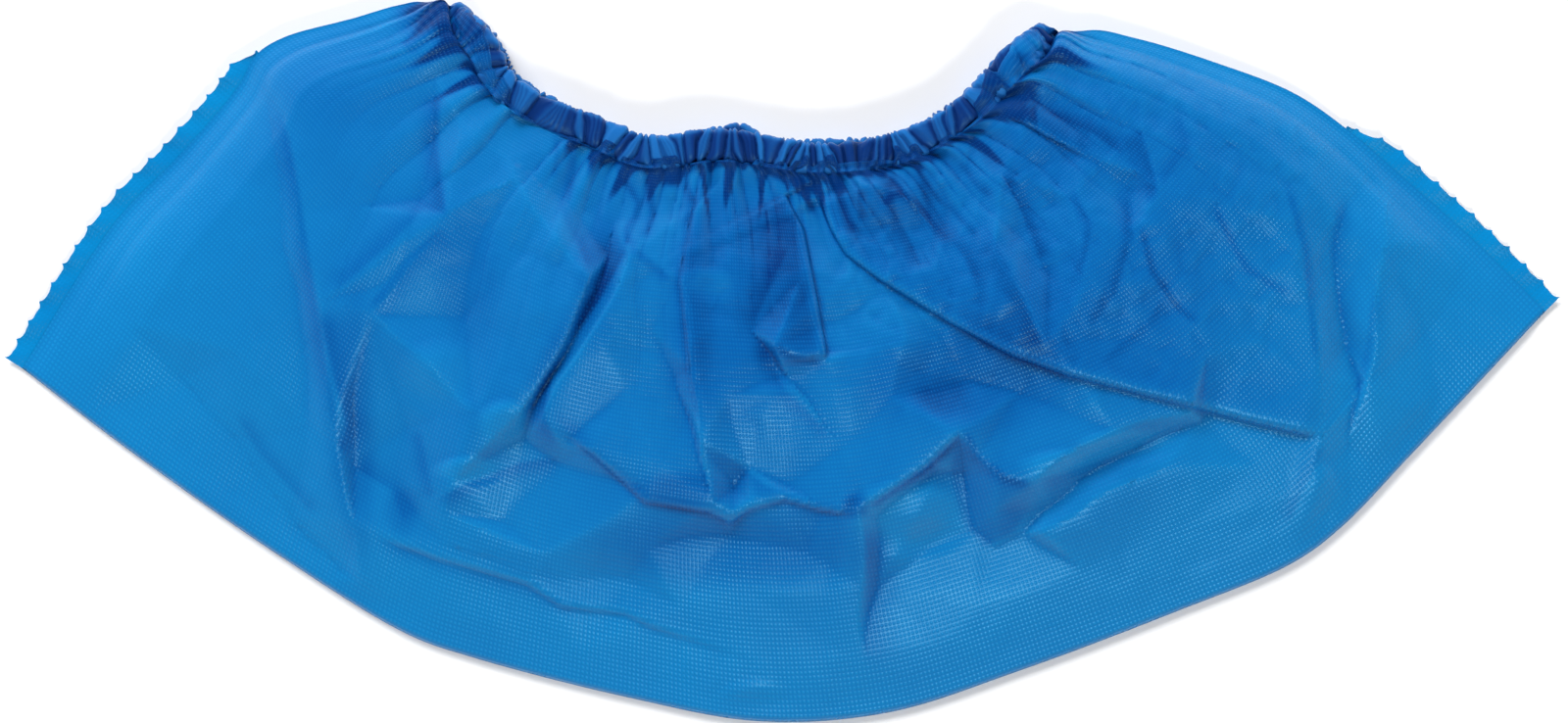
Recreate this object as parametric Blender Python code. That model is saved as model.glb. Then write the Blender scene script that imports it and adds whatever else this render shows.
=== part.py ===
"""Disposable plastic-film shoe cover, lying on its side as it comes out of the pack.

The sheet of film is folded once along the sole, welded at both ends and open along the top,
where a hem gathered by its elastic runs round the mouth. Metres, +Z up. The cover lies on the
floor at Z = 0 with its sole fold towards -Y and its mouth towards +Y.
"""

import math
from collections import namedtuple

import bmesh
import bpy
import numpy as np

# Driving sizes of the film bag, without the flanges outside its end welds
BAG_LENGTH = 0.346  # from the left weld to the right weld
BAG_WIDTH = 0.164  # from the sole fold's lowest point to the top of the shoulder
FILM_WALL = 0.001  # thickness of each film layer
CREASE_GAP = 0.0004  # air left between the two layers along a fold or a weld
FILM_CROWN = 0.014  # how far trapped air lifts the upper film over the line from fold to hem
WELD_WIDTH = 0.0018  # solid border where the two layers are one

# Gathered hem round the mouth
HEM_WIDTH = 0.0074  # across the hem, in the plane of the film
HEM_THICKNESS = 0.005  # through the hem
MOUTH_GAP = 0.0072  # clear height between the upper and the lower run of the hem
MOUTH_TURN = 0.011  # length over which the hem turns from the upper run to the lower one
HEM_RUFFLE = 0.0007  # how deep the hem's gathers are

# Flanges outside the end welds, torn off along a perforation
FLANGE_WIDTH = 0.0052
FLANGE_WALL = 0.001
TEAR_PITCH = 0.005  # from one torn nib to the next
TEAR_NIB = 0.0009  # how far a nib stands out

CLEARANCE = 0.0003  # between pieces that touch

FILM_GATHERS = 16  # soft pleats that run from the hem into the film
HEM_RUFFLES = 36
STEPS_PER_GATHER = 4  # how finely each pleat and each ruffle is divided
HEM_SIDES = 8

FILM_BLUE = (0.008, 0.222, 0.591, 1.0)
HEM_BLUE = (0.006, 0.045, 0.235, 1.0)
FLANGE_BLUE = (0.012, 0.262, 0.638, 1.0)

# Outlines seen from above. Along is a share of half the bag's length, from its middle, and
# across is a share of the bag's width, from the lowest point of the sole fold.
Spot = namedtuple("Spot", "along across")

SOLE_FOLD = (
    Spot(-1.000, 0.489),
    Spot(-0.872, 0.385),
    Spot(-0.666, 0.232),
    Spot(-0.493, 0.120),
    Spot(-0.410, 0.089),
    Spot(-0.204, 0.033),
    Spot(-0.031, 0.000),
    Spot(0.136, 0.012),
    Spot(0.309, 0.070),
    Spot(0.515, 0.152),
    Spot(0.669, 0.220),
    Spot(0.733, 0.270),
    Spot(0.823, 0.369),
    Spot(1.000, 0.568),
)
MOUTH_RIM = (
    Spot(-0.460, 0.966),
    Spot(-0.431, 0.941),
    Spot(-0.410, 0.917),
    Spot(-0.393, 0.881),
    Spot(-0.360, 0.846),
    Spot(-0.315, 0.820),
    Spot(-0.256, 0.795),
    Spot(-0.185, 0.766),
    Spot(-0.076, 0.774),
    Spot(0.040, 0.759),
    Spot(0.149, 0.770),
    Spot(0.226, 0.809),
    Spot(0.272, 0.847),
    Spot(0.308, 0.888),
    Spot(0.336, 0.914),
    Spot(0.368, 0.936),
)
LEFT_END = (
    Spot(-1.000, 0.489),
    Spot(-0.876, 0.694),
    Spot(-0.795, 0.782),
    Spot(-0.715, 0.880),
    Spot(-0.693, 0.922),
    Spot(-0.658, 0.946),
    Spot(-0.565, 0.973),
    Spot(-0.505, 0.991),
    Spot(-0.478, 0.993),
    Spot(-0.460, 0.966),
)
RIGHT_END = (
    Spot(1.000, 0.568),
    Spot(0.904, 0.668),
    Spot(0.814, 0.752),
    Spot(0.739, 0.820),
    Spot(0.669, 0.870),
    Spot(0.566, 0.912),
    Spot(0.463, 0.945),
    Spot(0.400, 0.956),
    Spot(0.368, 0.936),
)

# Share of each end's length that shows a flange, and how much the flange narrows at its top
Flange = namedtuple("Flange", "reach narrowing")

FLANGES = {"left": Flange(0.675, 0.0), "right": Flange(0.47, 0.75)}

# How far the upper film is lifted at each place along the bag, as a share of the film crown
Lift = namedtuple("Lift", "place share")

LIFTS = (
    Lift(0.00, 0.00),
    Lift(0.05, 0.34),
    Lift(0.12, 0.50),
    Lift(0.30, 0.78),
    Lift(0.50, 0.86),
    Lift(0.70, 0.95),
    Lift(0.88, 0.52),
    Lift(0.95, 0.34),
    Lift(1.00, 0.00),
)
CROWN_PLACE = 0.56  # where the lift is greatest, from the fold at 0 to the hem at 1

# Main folds of the upper film. Their ends are places in the outlines' shares, the rise is a
# share of the film crown, the half width is a share of the bag's width, and steep is how much
# narrower the fold is on its right-hand side, seen from its start.
Fold = namedtuple("Fold", "start end rise half_width steep")

FOLDS = (
    Fold(Spot(-0.45, 0.88), Spot(-0.62, 0.60), 0.28, 0.105, 0.9),
    Fold(Spot(-0.62, 0.60), Spot(-0.55, 0.20), 0.34, 0.100, 1.0),
    Fold(Spot(-0.36, 0.78), Spot(-0.54, 0.56), 0.28, 0.100, 0.8),
    Fold(Spot(-0.25, 0.67), Spot(-0.34, 0.44), 0.44, 0.105, 1.0),
    Fold(Spot(-0.34, 0.44), Spot(-0.45, 0.30), 0.40, 0.095, 0.8),
    Fold(Spot(-0.54, 0.56), Spot(-0.40, 0.43), 0.28, 0.090, 1.0),
    Fold(Spot(-0.56, 0.35), Spot(-0.49, 0.27), 0.24, 0.090, 0.8),
    Fold(Spot(-0.30, 0.41), Spot(-0.18, 0.31), 0.26, 0.090, 0.8),
    Fold(Spot(-0.13, 0.69), Spot(-0.10, 0.36), 0.42, 0.095, 0.8),
    Fold(Spot(0.02, 0.74), Spot(0.05, 0.51), 0.34, 0.085, 0.8),
    Fold(Spot(-0.02, 0.53), Spot(0.10, 0.30), 0.40, 0.095, 0.9),
    Fold(Spot(-0.11, 0.39), Spot(0.10, 0.29), 0.32, 0.090, 0.8),
    Fold(Spot(0.06, 0.72), Spot(0.20, 0.58), 0.40, 0.110, 0.7),
    Fold(Spot(0.20, 0.58), Spot(0.46, 0.47), 0.46, 0.115, 0.7),
    Fold(Spot(0.46, 0.47), Spot(0.71, 0.40), 0.42, 0.110, 0.7),
    Fold(Spot(0.10, 0.29), Spot(0.24, 0.41), 0.40, 0.090, 0.8),
    Fold(Spot(0.25, 0.38), Spot(0.36, 0.33), 0.34, 0.085, 0.8),
    Fold(Spot(0.36, 0.33), Spot(0.54, 0.44), 0.34, 0.085, 0.8),
    Fold(Spot(0.47, 0.80), Spot(0.46, 0.60), 0.26, 0.095, 0.8),
    Fold(Spot(0.75, 0.72), Spot(0.72, 0.45), 0.38, 0.090, 0.9),
    Fold(Spot(0.72, 0.40), Spot(0.69, 0.26), 0.34, 0.080, 0.9),
    Fold(Spot(-0.54, 0.26), Spot(-0.31, 0.18), 0.28, 0.080, 0.8),
    Fold(Spot(-0.29, 0.16), Spot(-0.03, 0.08), 0.20, 0.075, 0.8),
    Fold(Spot(0.10, 0.29), Spot(0.11, 0.09), 0.26, 0.080, 1.0),
)
GATHER_RISE = 0.0010  # how high the soft pleats stand at the hem
GATHER_START = 0.62  # where they begin, from the fold at 0 to the hem at 1

# Rows of the film's grid, from the sole fold at 0 to the hem at 1
FILM_ROWS = (0, 0.05, 0.12, 0.2, 0.29, 0.38, 0.47, 0.56, 0.65, 0.73, 0.81, 0.87, 0.92, 0.96, 1)

EDGE_HALF = FILM_WALL + CREASE_GAP / 2  # half the height of a folded or welded edge
LOWER_HEM_HEIGHT = max(HEM_THICKNESS / 2, EDGE_HALF)
UPPER_HEM_HEIGHT = LOWER_HEM_HEIGHT + MOUTH_GAP + HEM_THICKNESS
MIDDLE_HEM_HEIGHT = (LOWER_HEM_HEIGHT + UPPER_HEM_HEIGHT) / 2
HEM_REACH = UPPER_HEM_HEIGHT - MIDDLE_HEM_HEIGHT
HEM_SETBACK = HEM_THICKNESS * 0.6  # from the rim's corner to the middle of the hem's turn


def ease(value):
    """0 at 0 and 1 at 1, level at both ends."""
    value = np.clip(value, 0.0, 1.0)
    return value * value * (3 - 2 * value)


class Outline:
    """A smooth plan curve through a table's spots, read by its share of length."""

    SAMPLES = 16

    def __init__(self, spots):
        knots = np.array([(s.along * BAG_LENGTH / 2, s.across * BAG_WIDTH) for s in spots])
        padded = np.vstack([2 * knots[0] - knots[1], knots, 2 * knots[-1] - knots[-2]])
        pieces = [self.span(padded[i : i + 4]) for i in range(len(knots) - 1)]
        self.points = np.vstack(pieces + [knots[-1:]])
        steps = np.linalg.norm(np.diff(self.points, axis=0), axis=1)
        self.length = float(steps.sum())
        self.shares = np.concatenate([[0.0], np.cumsum(steps)]) / self.length

    def span(self, corners):
        """Centripetal spline from the second corner to just before the third."""
        steps = np.sqrt(np.linalg.norm(np.diff(corners, axis=0), axis=1))
        knot = np.concatenate([[0.0], np.cumsum(steps)])
        at = np.linspace(knot[1], knot[2], self.SAMPLES, endpoint=False)[:, None]
        line = [
            (knot[i + 1] - at) / (knot[i + 1] - knot[i]) * corners[i]
            + (at - knot[i]) / (knot[i + 1] - knot[i]) * corners[i + 1]
            for i in range(3)
        ]
        bend = [
            (knot[i + 2] - at) / (knot[i + 2] - knot[i]) * line[i]
            + (at - knot[i]) / (knot[i + 2] - knot[i]) * line[i + 1]
            for i in range(2)
        ]
        return ((knot[2] - at) * bend[0] + (at - knot[1]) * bend[1]) / (knot[2] - knot[1])

    def at(self, share):
        share = np.asarray(share, float)
        return np.stack([np.interp(share, self.shares, self.points[:, k]) for k in range(2)], axis=-1)

    def direction(self, share):
        """Unit direction of the curve at each share."""
        step = 0.004
        ahead = self.at(np.clip(np.asarray(share) + step, 0, 1))
        behind = self.at(np.clip(np.asarray(share) - step, 0, 1))
        return (ahead - behind) / np.linalg.norm(ahead - behind, axis=-1, keepdims=True)


SOLE = Outline(SOLE_FOLD)
RIM = Outline(MOUTH_RIM)
ENDS = {"left": Outline(LEFT_END), "right": Outline(RIGHT_END)}


def plan(place, rise):
    """Plan position of the film at a share of its length and a share from fold to hem."""
    place, rise = np.broadcast_arrays(np.asarray(place, float), np.asarray(rise, float))
    up = rise[..., None]
    ruled = (1 - up) * SOLE.at(place) + up * RIM.at(place)
    for side, end, near in (("left", 0.0, 1 - place), ("right", 1.0, place)):
        straight = (1 - up) * SOLE.at(end) + up * RIM.at(end)
        ruled = ruled + (near**2)[..., None] * (ENDS[side].at(rise) - straight)
    return ruled


def rim_height(place, run):
    """Height of the rim's middle: the upper run is +1, the lower run is -1, and they meet at the ends."""
    from_end = np.minimum(place, 1 - np.asarray(place)) * RIM.length
    turned = np.clip((from_end - HEM_SETBACK) / MOUTH_TURN, 0.0, 1.0)
    return MIDDLE_HEM_HEIGHT + run * HEM_REACH * np.sqrt(1 - (1 - turned) ** 2)


def weld_height(rise):
    """Height of the middle of an end weld, from the floor at the sole fold to the mouth's corner."""
    return EDGE_HALF + (MIDDLE_HEM_HEIGHT - EDGE_HALF) * np.asarray(rise) ** 1.5


def fold_height(position):
    """Height that the main folds add at plan positions."""
    highest = np.zeros(position.shape[:-1])
    for fold in FOLDS:
        start = np.array([fold.start.along * BAG_LENGTH / 2, fold.start.across * BAG_WIDTH])
        run = np.array([fold.end.along * BAG_LENGTH / 2, fold.end.across * BAG_WIDTH]) - start
        length = float(np.linalg.norm(run))
        offset = position - start
        along = offset @ run / length**2
        left_of_run = offset @ np.array([-run[1], run[0]]) / length
        beyond = np.maximum(np.maximum(-along, along - 1), 0) * length
        half_width = fold.half_width * BAG_WIDTH
        beside = left_of_run / np.where(left_of_run < 0, half_width * fold.steep, half_width)
        away = np.clip(np.hypot(beside, beyond / half_width), 0, 1)
        highest = np.maximum(highest, fold.rise * FILM_CROWN * (0.5 + 0.5 * np.cos(math.pi * away)))
    return highest


def upper_outside(place, rise):
    """Height of the upper film's outer face."""
    place, rise = np.broadcast_arrays(np.asarray(place, float), np.asarray(rise, float))
    fold_edge = 2 * EDGE_HALF
    rim_edge = rim_height(place, 1) + EDGE_HALF
    height = (1 - rise) * fold_edge + rise * rim_edge
    for end, near in ((0.0, 1 - place), (1.0, place)):
        straight = (1 - rise) * fold_edge + rise * (rim_height(end, 1) + EDGE_HALF)
        height = height + near**12 * (weld_height(rise) + EDGE_HALF - straight)
    share = np.interp(place, [lift.place for lift in LIFTS], [lift.share for lift in LIFTS])
    climb = 1 - np.clip(1 - rise / CROWN_PLACE, 0, 1) ** 2
    fall = 0.5 * (1 + np.cos(math.pi * np.clip((rise - CROWN_PLACE) / (1 - CROWN_PLACE), 0, 1)))
    height = height + FILM_CROWN * share * climb * fall
    inside = ease(place / 0.05) * ease((1 - place) / 0.05) * ease(rise / 0.1) * ease((1 - rise) / 0.12)
    height = height + inside * fold_height(plan(place, rise))
    pleat = 0.5 + 0.5 * np.cos(2 * math.pi * FILM_GATHERS * place)
    shown = ease((rise - GATHER_START) / 0.25) * ease((1 - rise) / 0.04)
    return height + GATHER_RISE * pleat * shown * ease(place / 0.06) * ease((1 - place) / 0.06)


def lower_outside(place, rise):
    """Height of the lower film's outer face, which lies on the floor but for its ends and its rim."""
    place, rise = np.broadcast_arrays(np.asarray(place, float), np.asarray(rise, float))
    near_end = np.clip(1 - np.minimum(place, 1 - place) / 0.07, 0, 1) ** 2
    height = (weld_height(rise) - EDGE_HALF) * near_end
    near_rim = np.clip((rise - 0.8) / 0.2, 0, 1) ** 2
    rim_edge = rim_height(place, -1) - EDGE_HALF
    return height + near_rim * (rim_edge - height)


def slant(surface, place, rise):
    """How much longer the wall is along Z than square to the film."""
    step = 0.01
    slope = 0.0
    for d_place, d_rise in ((step, 0), (0, step)):
        low = (np.clip(place - d_place, 0, 1), np.clip(rise - d_rise, 0, 1))
        high = (np.clip(place + d_place, 0, 1), np.clip(rise + d_rise, 0, 1))
        run = np.linalg.norm(plan(*high) - plan(*low), axis=-1)
        slope = slope + ((surface(*high) - surface(*low)) / np.maximum(run, 1e-6)) ** 2
    return np.minimum(np.sqrt(1 + slope), 2.2)


def lattice(places, rises, heights):
    """Grid of points, one row for each rise and one column for each place."""
    position = plan(places, rises)
    return np.concatenate([position, heights[..., None]], axis=-1)


def bag_lattices():
    """Outer and inner point grids of the upper and the lower film."""
    side_inset = WELD_WIDTH / SOLE.length
    fold_inset = FILM_WALL / BAG_WIDTH
    column = np.linspace(0, 1, FILM_GATHERS * STEPS_PER_GATHER + 1)
    row = np.array(FILM_ROWS, float)
    place, rise = np.meshgrid(column, row)
    grids = {
        ("upper", "outside"): lattice(place, rise, upper_outside(place, rise)),
        ("lower", "outside"): lattice(place, rise, lower_outside(place, rise)),
    }
    inner_column = side_inset + (1 - 2 * side_inset) * column
    inner_row = fold_inset + (1 - fold_inset) * row
    place, rise = np.meshgrid(inner_column, inner_row)
    floor = lower_outside(place, rise) + FILM_WALL * slant(lower_outside, place, rise)
    roof = upper_outside(place, rise) - FILM_WALL * slant(upper_outside, place, rise)
    grids["upper", "inside"] = lattice(place, rise, np.maximum(roof, floor + CREASE_GAP))
    grids["lower", "inside"] = lattice(place, rise, floor)
    return grids


def add_grid(mesh, points):
    """Adds the grid's vertices and returns them as rows."""
    return [[mesh.verts.new(point) for point in row] for row in points]


def join_rows(mesh, first, second):
    """Strip of faces between two rows of vertices."""
    for a, b, c, d in zip(first, first[1:], second[1:], second):
        mesh.faces.new([a, b, c, d])


def skin(mesh, rows):
    """Faces over a whole grid."""
    for low, high in zip(rows, rows[1:]):
        join_rows(mesh, low, high)


def closed_edge(rows):
    """The grid's border along both ends and the fold, from rim to rim."""
    left = [row[0] for row in rows[:0:-1]]
    right = [row[-1] for row in rows[1:]]
    return left + rows[0] + right


def finish_mesh(name, mesh, colour, roughness):
    """Makes an object of the mesh, faces outwards, with its own material."""
    bmesh.ops.recalc_face_normals(mesh, faces=mesh.faces)
    data = bpy.data.meshes.new(name)
    mesh.to_mesh(data)
    mesh.free()
    data.shade_smooth()
    data.set_sharp_from_angle(angle=math.radians(40))
    part = bpy.data.objects.new(name, data)
    bpy.context.scene.collection.objects.link(part)
    material = bpy.data.materials.new(name)
    material.use_nodes = True
    shader = material.node_tree.nodes["Principled BSDF"]
    shader.inputs["Base Color"].default_value = colour
    shader.inputs["Roughness"].default_value = roughness
    shader.inputs["Metallic"].default_value = 0.0
    data.materials.append(material)
    return part


def build_film_bag():
    """The folded and welded film: one hollow wall, open along the mouth."""
    mesh = bmesh.new()
    rows = {key: add_grid(mesh, points) for key, points in bag_lattices().items()}
    for grid in rows.values():
        skin(mesh, grid)
    for face in ("outside", "inside"):
        join_rows(mesh, closed_edge(rows["upper", face]), closed_edge(rows["lower", face]))
    for layer in ("upper", "lower"):
        join_rows(mesh, rows[layer, "outside"][-1], rows[layer, "inside"][-1])
    around = (("upper", "outside"), ("upper", "inside"), ("lower", "inside"), ("lower", "outside"))
    for side in (0, -1):
        mesh.faces.new([rows[key][-1][side] for key in around])
    return finish_mesh("film_bag", mesh, FILM_BLUE, 0.35)


def hem_stations():
    """Places along the rim and runs of the hem's sections, once round the mouth."""
    count = HEM_RUFFLES * STEPS_PER_GATHER
    setback = HEM_SETBACK / RIM.length
    turn = MOUTH_TURN / RIM.length
    straight = 1 - 2 * setback - 2 * turn
    arc = math.pi / 2 * (MOUTH_TURN + HEM_REACH) / RIM.length
    half = straight + arc
    stations = []
    for k in range(count):
        way = (k / count) * 2 * half
        run = 1 if way < half else -1
        way = way % half
        if way < arc / 2:
            angle = way / arc * math.pi
            place = turn * (1 - math.cos(angle))
            lift = math.sin(angle)
        elif way < arc / 2 + straight:
            place = turn + way - arc / 2
            lift = 1.0
        else:
            angle = (half - way) / arc * math.pi
            place = 2 * turn + straight - turn * (1 - math.cos(angle))
            lift = math.sin(angle)
        place = setback + place
        stations.append((place if run > 0 else 1 - place, run * lift))
    return stations


def hem_sections():
    """Rings of points round the hem's path, drawn in and out by its ruffles."""
    stations = hem_stations()
    places = np.array([place for place, _ in stations])
    heights = MIDDLE_HEM_HEIGHT + HEM_REACH * np.array([lift for _, lift in stations])
    forward = RIM.direction(places)
    outward = np.stack([-forward[:, 1], forward[:, 0]], axis=1)
    middle = RIM.at(places) + outward * (HEM_WIDTH / 2 + CLEARANCE)
    path = np.column_stack([middle, heights])
    along = np.roll(path, -1, axis=0) - np.roll(path, 1, axis=0)
    sideways = np.column_stack([outward, np.zeros(len(path))])
    upward = np.cross(along, sideways)
    upward /= np.linalg.norm(upward, axis=1, keepdims=True)
    rings = []
    for k, centre in enumerate(path):
        drawn = HEM_RUFFLE * (0.5 + 0.5 * math.cos(2 * math.pi * k / STEPS_PER_GATHER))
        half_width = HEM_WIDTH / 2 - drawn
        half_thickness = HEM_THICKNESS / 2 - drawn
        ring = []
        for n in range(HEM_SIDES):
            angle = 2 * math.pi * (n + 0.5) / HEM_SIDES
            across = sideways[k] * half_width * math.cos(angle)
            ring.append(centre + across + upward[k] * half_thickness * math.sin(angle))
        rings.append(ring)
    return rings


def build_elastic_hem():
    """The hem that the elastic gathers: one ruffled ring round the mouth."""
    mesh = bmesh.new()
    rings = [[mesh.verts.new(point) for point in ring] for ring in hem_sections()]
    for ring, following in zip(rings, rings[1:] + rings[:1]):
        for n in range(HEM_SIDES):
            after = (n + 1) % HEM_SIDES
            mesh.faces.new([ring[n], ring[after], following[after], following[n]])
    return finish_mesh("elastic_hem", mesh, HEM_BLUE, 0.45)


def weld_line(side, rise):
    """Plan position on the bag's end, whose grid runs straight from row to row."""
    corners = ENDS[side].at(np.array(FILM_ROWS, float))
    return np.array([np.interp(rise, FILM_ROWS, corners[:, k]) for k in range(2)])


def torn_edge(length):
    """Distance along the weld and share of the nib's height for each point of the torn edge."""
    shape = ((0.0, 1.0), (0.14, 0.25), (0.5, 0.0), (0.86, 0.25))
    count = max(2, round(length / TEAR_PITCH))
    points = [((k + part) / count, height) for k in range(count) for part, height in shape]
    return points + [(1.0, 1.0)]


def build_end_flange(name, side):
    """Welded strip outside one end of the bag, with the nibs that the perforation leaves."""
    outline = ENDS[side]
    reach, narrowing = FLANGES[side]
    outward_sign = 1 if side == "left" else -1
    mesh = bmesh.new()
    edges = {"top": ([], []), "bottom": ([], [])}
    for part, nib in torn_edge(outline.length * reach):
        rise = part * reach
        weld = weld_line(side, rise)
        forward = outline.direction(rise)
        outward = outward_sign * np.array([-forward[1], forward[0]])
        narrowed = 1 - narrowing * float(ease((part - 0.8) / 0.2))
        near = weld + outward * CLEARANCE
        far = weld + outward * (CLEARANCE + (FLANGE_WIDTH - TEAR_NIB) * narrowed + TEAR_NIB * nib)
        height = float(weld_height(rise))
        for face, offset in (("top", FLANGE_WALL / 2), ("bottom", -FLANGE_WALL / 2)):
            edges[face][0].append(mesh.verts.new((*near, height + offset)))
            edges[face][1].append(mesh.verts.new((*far, height + offset)))
    for face in edges.values():
        join_rows(mesh, face[0], face[1])
    for edge in (0, 1):
        join_rows(mesh, edges["top"][edge], edges["bottom"][edge])
    for end in (0, -1):
        (top_near, top_far), (bottom_near, bottom_far) = edges["top"], edges["bottom"]
        mesh.faces.new([top_near[end], top_far[end], bottom_far[end], bottom_near[end]])
    return finish_mesh(name, mesh, FLANGE_BLUE, 0.4)


def centre_on_floor(parts):
    """Moves the parts so that the origin is under the middle of their common box."""
    corners = np.array([vert.co for part in parts for vert in part.data.vertices])
    middle = (corners.min(axis=0) + corners.max(axis=0)) / 2
    for part in parts:
        for vert in part.data.vertices:
            vert.co.x -= middle[0]
            vert.co.y -= middle[1]


def main():
    for old in list(bpy.data.objects):
        bpy.data.objects.remove(old)
    centre_on_floor(
        [
            build_film_bag(),
            build_elastic_hem(),
            build_end_flange("left_end_flange", "left"),
            build_end_flange("right_end_flange", "right"),
        ]
    )


main()
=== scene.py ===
import math

import bpy
import numpy as np
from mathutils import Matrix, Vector
from mathutils.geometry import delaunay_2d_cdt


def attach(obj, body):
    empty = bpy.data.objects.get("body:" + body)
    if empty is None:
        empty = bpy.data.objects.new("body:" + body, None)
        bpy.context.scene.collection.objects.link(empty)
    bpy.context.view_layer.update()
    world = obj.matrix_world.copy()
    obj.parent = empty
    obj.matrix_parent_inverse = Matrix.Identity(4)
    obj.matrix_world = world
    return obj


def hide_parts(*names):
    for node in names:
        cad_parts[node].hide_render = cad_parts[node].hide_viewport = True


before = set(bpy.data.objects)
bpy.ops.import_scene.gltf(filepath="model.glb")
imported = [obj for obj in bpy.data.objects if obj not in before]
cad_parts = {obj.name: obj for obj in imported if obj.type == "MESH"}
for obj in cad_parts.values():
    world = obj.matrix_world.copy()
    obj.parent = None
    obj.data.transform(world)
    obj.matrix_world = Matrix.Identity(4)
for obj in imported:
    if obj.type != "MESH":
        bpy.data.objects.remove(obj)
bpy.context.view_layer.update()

# Sizes of the cover, in metres, as its solids have them
BAG_LENGTH = 0.346
BAG_WIDTH = 0.164
FILM_CROWN = 0.014
CROWN_PLACE = 0.56
EDGE_HALF = 0.0012
HEM_WIDTH = 0.0074
HEM_THICKNESS = 0.005
MOUTH_GAP = 0.0072
MOUTH_TURN = 0.011
FLANGE_WIDTH = 0.0052
LOWER_HEM_HEIGHT = HEM_THICKNESS / 2
UPPER_HEM_HEIGHT = LOWER_HEM_HEIGHT + MOUTH_GAP + HEM_THICKNESS
MIDDLE_HEM_HEIGHT = (LOWER_HEM_HEIGHT + UPPER_HEM_HEIGHT) / 2
HEM_REACH = UPPER_HEM_HEIGHT - MIDDLE_HEM_HEIGHT
HEM_SETBACK = HEM_THICKNESS * 0.6
ORIGIN = np.array([-0.00039, 0.081467])  # the frame's origin, seen from the middle of the sole fold
LAYER_GAP = 0.0002  # between the floor and the lower film, and between a weld and each layer
LOWER_END_SHARE = 0.07  # shares over which the lower film climbs to its welds and to its rim
LOWER_RIM_SHARE = 0.2
FOLD_LENGTH = 0.399  # the flat sheet: the sole fold between the welds, and each layer's width
LAYER_WIDTH = 0.131

# The outlines, as shares of the bag's half length and of its width
SOLE_FOLD = (
    (-1.000, 0.489), (-0.872, 0.385), (-0.666, 0.232), (-0.493, 0.120), (-0.410, 0.089),
    (-0.204, 0.033), (-0.031, 0.000), (0.136, 0.012), (0.309, 0.070), (0.515, 0.152),
    (0.669, 0.220), (0.733, 0.270), (0.823, 0.369), (1.000, 0.568),
)
MOUTH_RIM = (
    (-0.460, 0.966), (-0.431, 0.941), (-0.410, 0.917), (-0.393, 0.881), (-0.360, 0.846),
    (-0.315, 0.820), (-0.256, 0.795), (-0.185, 0.766), (-0.076, 0.774), (0.040, 0.759),
    (0.149, 0.770), (0.226, 0.809), (0.272, 0.847), (0.308, 0.888), (0.336, 0.914), (0.368, 0.936),
)
LEFT_END = (
    (-1.000, 0.489), (-0.876, 0.694), (-0.795, 0.782), (-0.715, 0.880), (-0.693, 0.922),
    (-0.658, 0.946), (-0.565, 0.973), (-0.505, 0.991), (-0.478, 0.993), (-0.460, 0.966),
)
RIGHT_END = (
    (1.000, 0.568), (0.904, 0.668), (0.814, 0.752), (0.739, 0.820), (0.669, 0.870),
    (0.566, 0.912), (0.463, 0.945), (0.400, 0.956), (0.368, 0.936),
)
# Each flange's share of its end's length, how much its upper tip narrows and over what share of
# the flange, the pitch of its torn perforation in metres, and the seed of its ragged edge
FLANGES = {"left": (0.672, 0.9, 0.07, 0.005, 21), "right": (0.47, 0.75, 0.2, 0.0054, 22)}
# How high the film's crown stands along the sole fold: share of the length, share of the crown
LIFTS = (
    (0.00, 0.00), (0.05, 0.34), (0.12, 0.50), (0.30, 0.78), (0.50, 0.86),
    (0.70, 0.95), (0.88, 0.52), (0.95, 0.34), (1.00, 0.00),
)

# The drawing that places on the film refer to is the photograph, whose camera looks straight
# down: they are its pixels, across and down from its top left corner, read off it.
UNITS_PER_MM = 4.5
DRAWING_UNITS = 1000 * UNITS_PER_MM  # to the metre
DRAWING_SIZE = (1600, 738)  # the photograph's width and height
DRAWING_ORIGIN = (798.2, 370.4)  # the frame's origin on the drawing

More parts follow.
